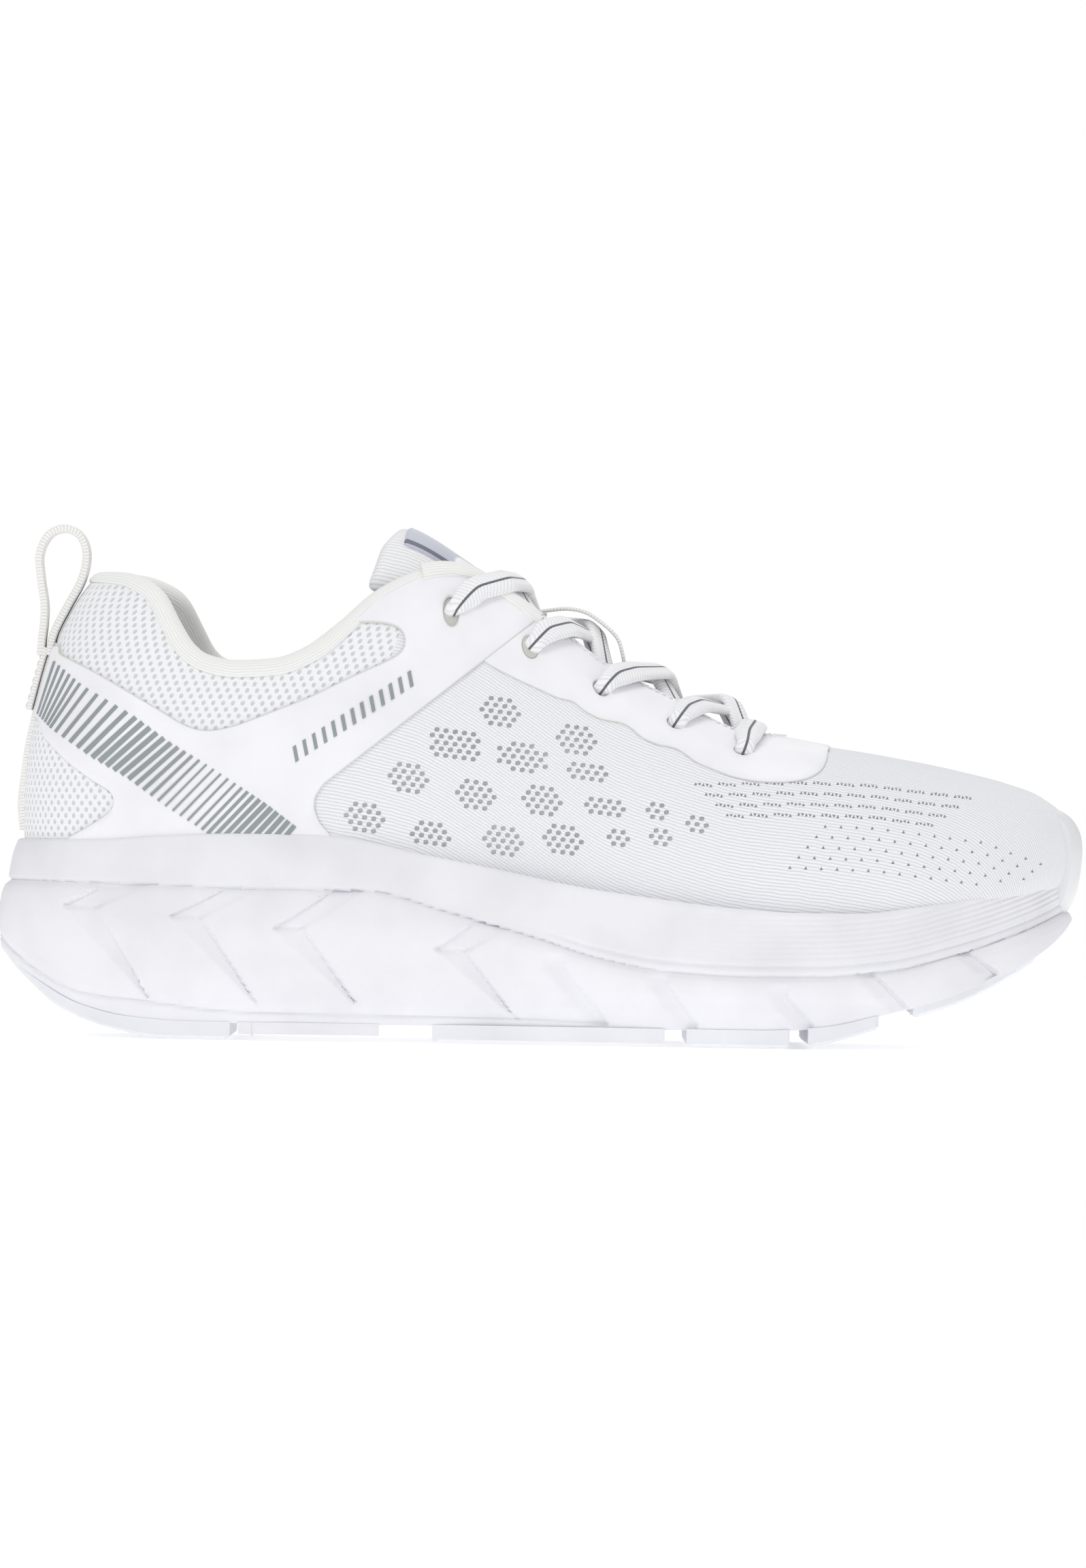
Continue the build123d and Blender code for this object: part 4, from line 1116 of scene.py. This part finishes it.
STRIPE_TOP = [(-134.2, 102.5), (-126.1, 95.9), (-111.9, 87.9), (-102.1, 80.9), (-92.4, 75.3), (-82.8, 69.2),
              (-75, 64.2), (-67.5, 58.6)]
STRIPE_LOW = [(-138.6, 88), (-134.4, 83.9), (-123.7, 76.7), (-113.5, 71), (-103.5, 63.8), (-93.5, 57.6),
              (-86, 52.6),
              (-77, 47)]
STRIPE_WIDTH = [(0, 0.5), (6, 0.75), (12, 1.45), (16, 1.3), (21, 0.5), (25, 0.65), (31, 1.45), (35, 1.3)]
STRIPES = 36
PRINT_RISE = 0.42


def printed(runs, across, side):
    """A thin raised print round a side-view line, with half its width given as a vector."""
    line = np.array([p - across for p in runs] + [p + across for p in runs[::-1]])
    mapped = from_side(line, side)
    count = len(mapped)
    top = [(k, count - 1 - k, count - 2 - k, k + 1) for k in range(len(runs) - 1)]
    bottom = [tuple(i + count for i in face[::-1]) for face in top]
    walls = [(k, (k + 1) % count, (k + 1) % count + count, k + count) for k in range(count)]
    faces = [*top, *bottom, *walls]
    points = np.vstack([lay(mapped, FILM_TOP + PRINT_RISE), lay(mapped, FILM_TOP)])
    return points, faces if side == LATERAL else [face[::-1] for face in faces]


def stripes(side):
    """Raised printed bars in a slanted band, thin and thick in turn."""
    at = np.arange(STRIPES) / (STRIPES - 1)
    at = at * 0.86 + 0.14 * at**1.5
    keys = np.linspace(0, 1, len(STRIPE_TOP))
    parts = []
    for i, share in enumerate(at):
        head = np.array([np.interp(share, keys, column) for column in zip(*STRIPE_TOP)])
        foot = np.array([np.interp(share, keys, column) for column in zip(*STRIPE_LOW)])
        floor = through(BITE_LINE, foot[0]) - 1.0
        if foot[1] < floor:
            foot = head + (foot - head) * (head[1] - floor) / (head[1] - foot[1])
        width = np.interp(i, *np.array(STRIPE_WIDTH, float).T)
        along = (head - foot) / max(np.linalg.norm(head - foot), 0.1)
        across = np.array([along[1], -along[0]]) * width / 2
        parts.append(printed([foot + (head - foot) * t for t in np.linspace(0, 1, 9)], across, side))
    return joined(parts)


def dashes(side):
    """A row of plain slanted dashes up the overlay."""
    start, end = np.array((-67.5, 78.2)), np.array((-36.5, 99.0))
    along = (end - start) / np.linalg.norm(end - start)
    lean = np.array([-along[1], along[0]]) * 2.0 + along * 0.8
    middles = [start + (end - start) * share for share in np.linspace(0, 1, 13)]
    return joined([printed([middle - lean, middle + lean], along * 0.55, side) for middle in middles])


for side, word in SIDES:
    piece(f"stripes_{word}", stripes(side), PRINT, "stripe_print")
    piece(f"dashes_{word}", dashes(side), PRINT, "stripe_print")


# ---------------------------------------------------------------- swept pieces
def outward(points, faces):
    """The faces of a closed mesh, turned to face out."""
    tris = np.array([(f[0], f[i], f[i + 1]) for f in faces for i in range(1, len(f) - 1)])
    a, b, c = points[tris[:, 0]], points[tris[:, 1]], points[tris[:, 2]]
    volume = np.einsum("ij,ij->i", a, np.cross(b, c)).sum()
    return faces if volume > 0 else [tuple(f)[::-1] for f in faces]


def swept(rings):
    """A closed tube through rings of points, with its ends capped. UVs are lengths along and round it."""
    rings = np.asarray(rings, float)
    count, sides = rings.shape[:2]
    faces = grid_faces(count, sides, False, True)
    faces += [tuple(range(sides))[::-1], tuple(range((count - 1) * sides, count * sides))]
    centre = rings.mean(axis=1)
    along = lengths(centre)
    steps = np.linalg.norm(np.diff(rings, axis=1), axis=2).mean(axis=0)
    across = np.concatenate([[0], np.cumsum(steps)])
    uv = np.stack(np.meshgrid(along, across, indexing="ij"), -1).reshape(-1, 2)
    points = rings.reshape(-1, 3)
    return points, outward(points, faces), uv


def unit(vectors):
    return vectors / np.maximum(np.linalg.norm(vectors, axis=-1, keepdims=True), 1e-9)


def blurred(line, passes):
    """A line smoothed along its length, with its ends kept."""
    line = np.array(line, float)
    for _ in range(passes):
        line[1:-1] = (line[:-2] + 2 * line[1:-1] + line[2:]) / 4
    return line


def ribbon(path, side, width, thick, sides=16, flat=2.6):
    """Flat strap or cord along a path: side is its width's direction at each point.

    UVs run along it and across it from its middle.
    """
    along = unit(np.gradient(path, axis=0))
    side = unit(side - along * np.einsum("ij,ij->i", side, along)[:, None])
    up = np.cross(along, side)
    turn = np.arange(sides) * 2 * pi / sides
    c, s = np.cos(turn), np.sin(turn)
    across = np.sign(c) * np.abs(c) ** (2 / flat)
    rise = np.sign(s) * np.abs(s) ** (2 / flat)
    width, thick = np.broadcast_to(width, len(path)), np.broadcast_to(thick, len(path))
    rings = (path[:, None] + side[:, None] * across[None, :, None] * width[:, None, None] / 2
             + up[:, None] * rise[None, :, None] * thick[:, None, None] / 2)
    points, faces, _ = swept(rings)
    far = lengths(path)
    uv = np.stack([np.repeat(far, sides), (across[None, :] * width[:, None] / 2).ravel()], -1)
    return points, faces, uv


# ---------------------------------------------------------------- collar
def roll_radius(x):
    return 2.3 + 1.7 * (1 - ramp(x, -60, -42))


def roll_line():
    """The middle of the padded roll's outer edge, round the foot's opening, on the skin."""
    halves = []
    for side in (LATERAL, MEDIAL):
        back = heel_reach(float(roll_radius(-125.0)))
        xs = back + (THROAT_CORNER + 5 - back) * np.linspace(1, 0, 500) ** 2
        mapped = from_side(np.column_stack([xs, collar_top(xs, side) - roll_radius(xs)]), side)
        halves.append(on_skin(mapped))
    return blurred(evened(np.vstack([halves[0], halves[1][::-1][1:]]), 0.9), 6)


def collar_roll():
    """The padded roll round the foot's opening: its cross-section, swept along its line."""
    line = roll_line()
    normal = blurred(skin_normal(line), 12)
    along = unit(np.gradient(line, axis=0))
    down = unit(np.cross(normal, along))
    radius = roll_radius(line[:, 0])
    turn = np.linspace(0, pi, 15)
    rings = []
    for p, n, d, r in zip(line, normal, down, radius):
        top = 0.75
        deep = top - 2 * r
        cross = [(1.35, 0.1), (1.25, 0.5), (0.7, 0.78)]
        cross += [(-r * 1.02 * sin(a), top - r + (r + 0.12 * sin(a)) * cos(a)) for a in turn]
        cross += [(3.0, deep - 0.1), (6.0 * r / 4, deep), (6.2 * r / 4, deep + 0.5)]
        cross += [(1.6, deep + 0.9), (1.2, -0.5)]
        rings.append([p + d * s + n * h for s, h in cross])
    return swept(rings)


roll = piece("collar_roll", collar_roll(), BINDING, "binding_cloth", angle=60,
             replaces=["collar_binding", "collar_foam"])


def collar_lining():
    """The padded lining down the inside of the heel."""
    front = -36.0
    halves, feet = [], []
    for side in (LATERAL, MEDIAL):
        back = heel_reach(5.0)
        xs = back + (front - back) * np.linspace(1, 0, 120) ** 2
        halves.append(from_side(np.column_stack([xs, collar_top(xs, side) - 5.0]), side))
        xs = -136.0 + (front + 136.0) * np.linspace(0, 1, 60) ** 1.5
        feet.append(from_side(np.column_stack([xs, np.full(60, 57.0)]), side))
    rear_foot = from_rear([(y, 57.0) for y in np.linspace(-14, 14, 9)])
    loop = np.vstack([halves[0], halves[1][::-1][1:], feet[1][::-1], rear_foot[::-1], feet[0]])
    flat, faces, _ = cut_out(evened(loop, 2.2, closed=True), [], 2.4)
    inner = -8.1 + 5.6 * ramp(flat[:, 0], -64, -44)
    points, every = sheet(flat, faces, inner + 0.8, inner, lay)
    mapped = skin_uv(flat)
    return points, every, np.vstack([mapped, mapped])


lining = piece("collar_lining_cloth", collar_lining(), LINING, "lining_cloth", replaces=["collar_lining"])


BINDING_TIP = [(-34, 128.6), (-27, 129.4), (-20, 128.0), (-13, 123.8), (-7, 119.6), (-1.5, 115.4)]
for side, word in SIDES:
    tip_line = on_skin(from_side(evened(flowing(BINDING_TIP, 0.6), 0.7), side))
    normal = blurred(skin_normal(tip_line), 6)
    along = unit(np.gradient(tip_line, axis=0))
    width = 5.2 - 1.6 * np.linspace(0, 1, len(tip_line)) ** 2
    tip = ribbon(tip_line + normal * 0.3, unit(np.cross(normal, along)), width, 3.0, 20, 2.4)
    piece(f"binding_tip_{word}", tip, BINDING, "binding_cloth", angle=60)

# ---------------------------------------------------------------- footbed
FOOTBED_THICK, FOOTBED_LOW = 7.3, 2.4
BED_LINE = [(-150, 44), (-134, 38.5), (-108, 36), (36, 26.5), (54, 25.7), (95, 27.5), (130, 36.5),
            (150, 50)]


def footbed():
    """The sockliner's cover, inside the walls of the upper."""
    xs = np.concatenate([-131 + 20 * np.linspace(0, 1, 16) ** 2, np.arange(-107, 120, 4.0),
                         140 - 20 * np.linspace(1, 0, 16) ** 2])
    half, _, _, middle, _, _ = section(xs)
    inner = np.maximum(half - 9, 1.0) * 0.96
    inner[[0, -1]] = 0.5
    edges = [np.column_stack([xs, middle - inner]), np.column_stack([xs, middle + inner])[::-1]]
    flat, faces, share = cut_out(evened(np.vstack(edges), 2.0, closed=True), [], 3.0, 1.0)
    low = np.interp(flat[:, 0], *np.array(BED_LINE).T)
    top = low + FOOTBED_THICK - 0.8 * (1 - share)
    points, every = sheet(flat, faces, top, low + FOOTBED_LOW, upright)
    return points, every, np.vstack([flat, flat])


bed = piece("footbed", footbed(), FOOTBED, "sockliner_cloth", replaces=["sockliner_foam", "sockliner_cloth"])

# ---------------------------------------------------------------- heel tape and pull loop
TAPE = [(-4.6, 56), (-4.7, 80), (-4.8, 100), (-4.8, 108), (4.8, 108), (4.8, 100), (4.7, 80), (4.6, 56)]
tape_loop = from_rear(evened(np.array(TAPE), 1.2, closed=True))
fabric("heel_tape", tape_loop, [], 1.5, 1.05, -0.3, WEBBING, "webbing", rim=0.4, edge_drop=0.4,
       replaces=["heel_backstay"])


def heel_line(low, high, height, step=0.5):
    """Points up the middle of the heel, standing off it."""
    z = np.arange(low, high, step)
    points = on_skin(from_rear(np.column_stack([np.zeros_like(z), z])))
    return points + skin_normal(points) * height


def strap(line, width, thick, sides=20):
    """A flat strap whose width runs across the shoe."""
    return ribbon(line, np.tile([0.0, 1.0, 0.0], (len(line), 1)), width, thick, sides, 5)


STRAP_WIDTH, STRAP_THICK, LOOP_THICK = 11.0, 1.8, 2.3
anchor = heel_line(89, 106.5, 1.95)
piece("pull_loop_anchor", strap(anchor, STRAP_WIDTH, STRAP_THICK), WEBBING, "webbing",
      replaces=["pull_loop_anchor"])

LOOP_PATH = [(-139.2, 104.5), (-138.9, 109), (-138.4, 114), (-138.4, 119), (-139.5, 126), (-139.9, 132.5),
             (-137.4, 137.8), (-133.1, 139.6), (-128.9, 137.8), (-126.9, 132.5), (-128.2, 125.5),
             (-131.8, 118.5),
             (-134.6, 113), (-136.1, 109), (-136.8, 104.5)]
loop_line = evened(flowing(LOOP_PATH, 0.4), 0.5)
loop_points = np.column_stack([loop_line[:, 0], np.zeros(len(loop_line)), loop_line[:, 1]])
pull_loop = piece("pull_loop_strap", strap(loop_points, STRAP_WIDTH, LOOP_THICK), WEBBING, "webbing",
                  body=None, replaces=["pull_loop"])
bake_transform(pull_loop)

# ---------------------------------------------------------------- tongue
TONGUE_TIP = [(-73, 96), (-50, 124), (-47, 130), (-45.6, 135), (-43.6, 139), (-39.5, 142), (-10, 147)]
TONGUE_SIDES = [(-42, -26.5), (-28, -27), (-10, -24), (30, -21), (56, -18), (64, -12), (64, 9), (56, 14.5),
                (30, 16.5), (-10, 19.5), (-28, 22.5), (-42, 22)]
TONGUE_TOP, TONGUE_BACK, TONGUE_ROUND = -5.0, -11.0, 2.6


def tongue_loop():
    """The tongue's outline on the map: its sides from the plan, and its end where its tip line cuts it."""
    sides = evened(flowing(TONGUE_SIDES, 0.8), 1.2)
    end = []
    for y in np.linspace(21.5, -26.0, 33):
        xs = np.linspace(-14, -58, 221)
        p = crown_point(xs, np.full_like(xs, y))
        p = p + skin_normal(p) * TONGUE_TOP
        past = p[:, 2] > through(TONGUE_TIP, p[:, 0])
        end.append((xs[np.argmax(past)] if past.any() else -58.0, y))
    keep = sides[sides[:, 0] > max(end[0][0], end[-1][0]) + 1.1]
    return softened(evened(np.vstack([over(keep), over(end)]), 1.1, closed=True), 4)


def edge_distance(flat, loop):
    """How far each point is from the loop."""
    chunks = [flat[i:i + 500, None] for i in range(0, len(flat), 500)]
    gaps = [np.linalg.norm(loop[None] - chunk, axis=2).min(axis=1) for chunk in chunks]
    return np.concatenate(gaps)


def tongue_shape():
    """The padded tongue, rounded at its edge and lightly quilted towards its front."""
    loop = tongue_loop()
    flat, faces, _ = cut_out(loop, [], 1.25, 0.7)
    inner = np.clip(edge_distance(flat, loop) / TONGUE_ROUND, 0, 1)
    edge = TONGUE_ROUND * (1 - np.sqrt(np.clip(1 - (1 - inner) ** 2, 0, 1)))
    quilt = 0.22 * np.sin(flat[:, 0] * 0.35) * ramp(flat[:, 0], -30, -20) * inner
    points, every = sheet(flat, faces, TONGUE_TOP - edge + quilt, TONGUE_BACK + edge, lay)
    mapped = skin_uv(flat)
    return points, every, np.vstack([mapped, mapped])


TONGUE_NODES = [f"tongue_{part}_{kind}" for part in ("lower", "top") for kind in ("face", "foam", "lining")]
tongue = piece("tongue", tongue_shape(), TONGUE, "tongue_mesh", body=None, angle=60,
               replaces=[*TONGUE_NODES, "tongue_top_binding"])
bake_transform(tongue)

LABEL_OUTLINE = [(-38.5, -17), (-36, -2), (-38, 11), (-12.5, 12.5), (-11.5, -2), (-12.5, -17.5)]
EDGE_OUTLINE = [(-38.4, -16.2), (-25, -16.6), (-13.0, -16.6), (-13.0, -15.3), (-25, -15.3), (-38.0, -14.9)]
label_loop = softened(over(evened(np.array(LABEL_OUTLINE), 1.1, closed=True)), 2)
fabric("tongue_label", label_loop, [], 1.6, TONGUE_TOP + 0.75, TONGUE_TOP - 0.5, LABEL, "label_film",
       rim=0.5, edge_drop=0.35, body="tongue_top", replaces=["tongue_label"])
strip = over(evened(np.array(EDGE_OUTLINE), 0.9, closed=True))
fabric("label_edge", strip, [], 1.2, TONGUE_TOP + 0.95, TONGUE_TOP + 0.5, LABEL_EDGE, "label_film",
       body="tongue_top")

# ---------------------------------------------------------------- laces
EDGE_Y = [15.0, 14.4, 13.6, 12.8, 12.0]
OVER_EDGE_X, UNDER_EDGE_X = [14, 9, 8, 6, 3], 3
LACE_WIDTH, LACE_THICK, PINCHED = 7.6, 2.8, 5.0
LACE_OVER, LACE_UNDER = 2.25, -3.3
CROSSINGS = [None, (-2.4, 0.4), (1.4, 3.9), (1.8, 4.6),
(3.0, 6.0)]  # low and high crossing in front of each row


def standing(x, across, height):
    """A point over the skin at a distance across from the middle, and the skin's normal there."""
    p = crown_point(np.array([float(x)]), middle_y(x) + across)
    n = skin_normal(p)
    return (p + n * height)[0], n[0]


def half_lace(side):
    """One half of the lace, from the front bar up to the last eyelet."""
    stops, holes = [], []
    for row in range(4, -1, -1):
        x, across, edge = EYELETS_X[row], EYELET_Y[row] * side, EDGE_Y[row] * side
        stops += [standing(x + OVER_EDGE_X[row], edge, LACE_OVER + 0.3),
                  standing(x + OVER_EDGE_X[row] * 0.45, edge + (across - edge) * 0.55, LACE_OVER),
                  standing(x + 0.8, across * 0.985, LACE_OVER - 0.35), standing(x, across, LACE_UNDER)]
        holes.append(standing(x, across, 0)[0])
        if row:
            start, end = x + UNDER_EDGE_X, EYELETS_X[row - 1] + OVER_EDGE_X[row - 1]
            high = (row % 2 == 0) == (side < 0)
            stops += [standing(start, (EDGE_Y[row] - 1) * side, LACE_UNDER),
                      standing((start + end) / 2, 0, CROSSINGS[row][high])]
            side = -side
    return stops, holes, side


def lace_tail(side):
    """The lace's end, tucked down inside the upper."""
    route = [(-20, 102, 3.9), (-6, 78, 4.4), (16, 58, 5.4), (36, 50, 6.2), (52, 48, 7.0)]
    flat = from_side([(x, z) for x, z, _ in route], side)
    points = on_skin(flat)
    normals = skin_normal(points)
    return [(p - n * row[2], n) for p, n, row in zip(points, normals, route)]


def lace_route():
    """The lace's points and normals from one end to the other, and the places of its eyelets."""
    left, left_holes, left_side = half_lace(-1)
    right, right_holes, right_side = half_lace(1)
    stops = [*lace_tail(left_side)[::-1], *left[::-1], *right, *lace_tail(right_side)]
    points, normals = np.array(stops).transpose(1, 0, 2)
    return points, normals, np.array(left_holes + right_holes)


def lace_shape():
    """The flat lace, pinched where it goes through an eyelet, and its path."""
    stops, normals, holes = lace_route()
    far = lengths(stops)
    at = np.arange(0, far[-1], 0.4)
    path = np.stack([np.interp(at, far, c) for c in stops.T], -1)
    normal = np.stack([np.interp(at, far, c) for c in normals.T], -1)
    path = blurred(path, 22)
    along = unit(np.gradient(path, axis=0))
    side = np.cross(normal[0], along[0])
    sides = []
    for n, t in zip(normal, along):
        wanted = np.cross(n, t)
        if np.linalg.norm(wanted) > 0.45:
            wanted = wanted / np.linalg.norm(wanted)
            side = side * 0.9 + wanted * (0.1 if wanted @ side > 0 else -0.1)
        side = side - t * (side @ t)
        side = side / np.linalg.norm(side)
        sides.append(side)
    sides = unit(blurred(np.array(sides), 4))
    gap = np.min(np.linalg.norm(path[:, None] - holes[None], axis=2), axis=1)
    open_width = ramp(gap, 1.8, 8.0)
    ends = ramp(np.minimum(at, at[-1] - at), 2, 14)
    width = (PINCHED + (LACE_WIDTH - PINCHED) * open_width) * (0.45 + 0.55 * ends)
    thick = LACE_THICK + 0.3 * (1 - open_width) + 0.11 * np.sin(at * 2 * pi / LACE_RIB)
    return ribbon(path, sides, width, thick, 16, 2.4), path


AGLET_POINTS = 24
lace, lace_path = lace_shape()
piece("lace", lace, LACE, "lace_cord", replaces=["lace"], angle=60)
for word, last, inner in (("lateral", 0, 12), ("medial", -1, -13)):
    end, before = lace_path[last], lace_path[inner]
    way = unit((end - before)[None])[0]
    aglet_path = np.array([end + way * t for t in np.linspace(-1.5, 20, AGLET_POINTS)])
    ring = 3.0 * np.ones(AGLET_POINTS)
    ring[[0, 1, -2, -1]] = 2.7, 2.95, 2.8, 2.2
    aglet = ribbon(aglet_path, np.tile([0.0, 0.3, 1.0], (AGLET_POINTS, 1)), ring, ring, 16, 2.0)
    piece(f"aglet_{word}", aglet, AGLET, "aglet_plastic", replaces=[f"aglet_{word}"])

KEEPER = [(-1, -4.6), (1.5, -1.0), (4.5, 3.0), (8, 5.6), (12.5, 6.3), (17, 5.6), (20.5, 2.4), (23, -1.2),
          (25, -4.6)]
keeper_path = evened(flowing([standing(x, 0, rise)[0] for x, rise in KEEPER], 0.5), 0.6)
piece("lace_keeper", strap(keeper_path, 8.0, 1.0, 16), WEBBING, "webbing", replaces=["lace_keeper"])


# ---------------------------------------------------------------- stitching
THREAD_RADIUS, THREAD_OUT = 0.3, 0.95


def stitches(name, line, normals, pitch, length, slot):
    """A row of short threads along a line, each pressed in at its ends."""
    far = lengths(line)
    parts = []
    shares = np.linspace(-1, 1, 6)
    turn = np.arange(6) * 2 * pi / 6
    for start in np.arange(pitch / 2, far[-1] - pitch / 2, pitch):
        middle = np.array([np.interp(start, far, c) for c in line.T])
        ahead = np.array([np.interp(start + 0.5, far, c) for c in line.T])
        n = unit(np.array([[np.interp(start, far, c) for c in normals.T]]))[0]
        t = unit((ahead - middle)[None])[0]
        s = np.cross(n, t)
        rings = []
        for share in shares:
            size = THREAD_RADIUS * sqrt(max(1 - (share * 0.93) ** 2, 0.08))
            centre = middle + t * share * length / 2 + n * THREAD_RADIUS * (0.35 - 0.5 * share**2)
            rings.append([centre + s * cos(a) * size + n * sin(a) * size * 0.8 for a in turn])
        parts.append(swept(rings)[:2])
    piece(name, joined(parts), THREAD, slot, angle=60)


edge_points = on_skin(over(moved_in(throat_edge(), -2.0)[2:-2]))
edge_normals = skin_normal(edge_points)
edge_points = edge_points + edge_normals * (FILM_TOP + 0.1)
stitches("throat_stitches", edge_points, edge_normals, 2.1, 1.3, "overlay_film")
backward = np.array([-1.0, 0, 0])
for word, y in (("lateral", -4.3), ("medial", 4.3)):
    line = anchor + backward * THREAD_OUT + (0, y, 0)
    stitches(f"anchor_stitches_{word}", line, np.tile(backward, (len(line), 1)), 2.4, 1.7, "webbing")
bar = np.array([anchor[2] + backward * THREAD_OUT + (0, y, 0) for y in np.linspace(-4, 4, 12)])
stitches("anchor_bar", bar, np.tile(backward, (len(bar), 1)), 1.5, 1.3, "webbing")


# ---------------------------------------------------------------- floor, light and camera
FLOOR_HALF, FLOOR_DROP = 1.1, 0.0004  # metres, as is all of the stage
AIM = Vector((0, 0, 0.07))
# name, place, size and power of each lamp
LAMPS = [("key", (-0.9, -1.3, 1.6), 0.9, 11.5), ("top", (0.3, 0.1, 1.6), 0.9, 5.0),
         ("fill", (1.4, -0.9, 0.7), 1.0, 2.4), ("back", (0.2, 1.6, 1.2), 1.2, 4.0)]


def stage():
    """White floor, soft lamps, a white backdrop and the long-lens camera."""
    floor_mesh = bpy.data.meshes.new("floor")
    corners = [(FLOOR_HALF * x, FLOOR_HALF * y, 0) for x, y in ((-1, -1), (1, -1), (1, 1), (-1, 1))]
    floor_mesh.from_pydata(corners, [], [(0, 1, 2, 3)])
    floor = bpy.data.objects.new("floor", floor_mesh)
    bpy.context.scene.collection.objects.link(floor)
    floor.location.z = -FLOOR_DROP
    paint = bpy.data.materials.new("floor")
    paint.use_nodes = True
    settle(paint.node_tree.nodes["Principled BSDF"], {
        "Base Color": (0.9, 0.9, 0.9, 1), "Roughness": 0.9, "Specular IOR Level": 0.1,
        "Emission Color": (1, 1, 1, 1), "Emission Strength": 0.4})
    floor_mesh.materials.append(paint)
    world = bpy.data.worlds.new("studio")
    bpy.context.scene.world = world
    world.use_nodes = True
    light = world.node_tree.nodes["Background"]
    settle(light, {"Color": (1, 1, 1, 1), "Strength": 0.51})
    backdrop = world.node_tree.nodes.new("ShaderNodeBackground")
    settle(backdrop, {"Color": (1, 1, 1, 1), "Strength": 1.0})
    rays = world.node_tree.nodes.new("ShaderNodeLightPath")
    mixed = world.node_tree.nodes.new("ShaderNodeMixShader")
    link = world.node_tree.links.new
    link(rays.outputs["Is Camera Ray"], mixed.inputs[0])
    link(light.outputs[0], mixed.inputs[1])
    link(backdrop.outputs[0], mixed.inputs[2])
    link(mixed.outputs[0], world.node_tree.nodes["World Output"].inputs["Surface"])
    for name, place, size, power in LAMPS:
        area = bpy.data.lights.new(name, "AREA")
        area.energy, area.size = power, size
        lamp = bpy.data.objects.new(name, area)
        bpy.context.scene.collection.objects.link(lamp)
        lamp.location = place
        lamp.rotation_euler = (AIM - Vector(place)).to_track_quat("-Z", "Y").to_euler()
    lens = bpy.data.cameras.new("camera")
    camera = bpy.data.objects.new("camera", lens)
    bpy.context.scene.collection.objects.link(camera)
    lens.sensor_fit, lens.sensor_width, lens.lens = "HORIZONTAL", 36.0, 359.3
    lens.clip_end = 20
    camera.location = (0.0002, -3.0, 0.071)
    camera.rotation_euler = (pi / 2, -radians(0.88), 0)
    bpy.context.scene.camera = camera
    bpy.context.scene.view_settings.view_transform = "Standard"


stage()
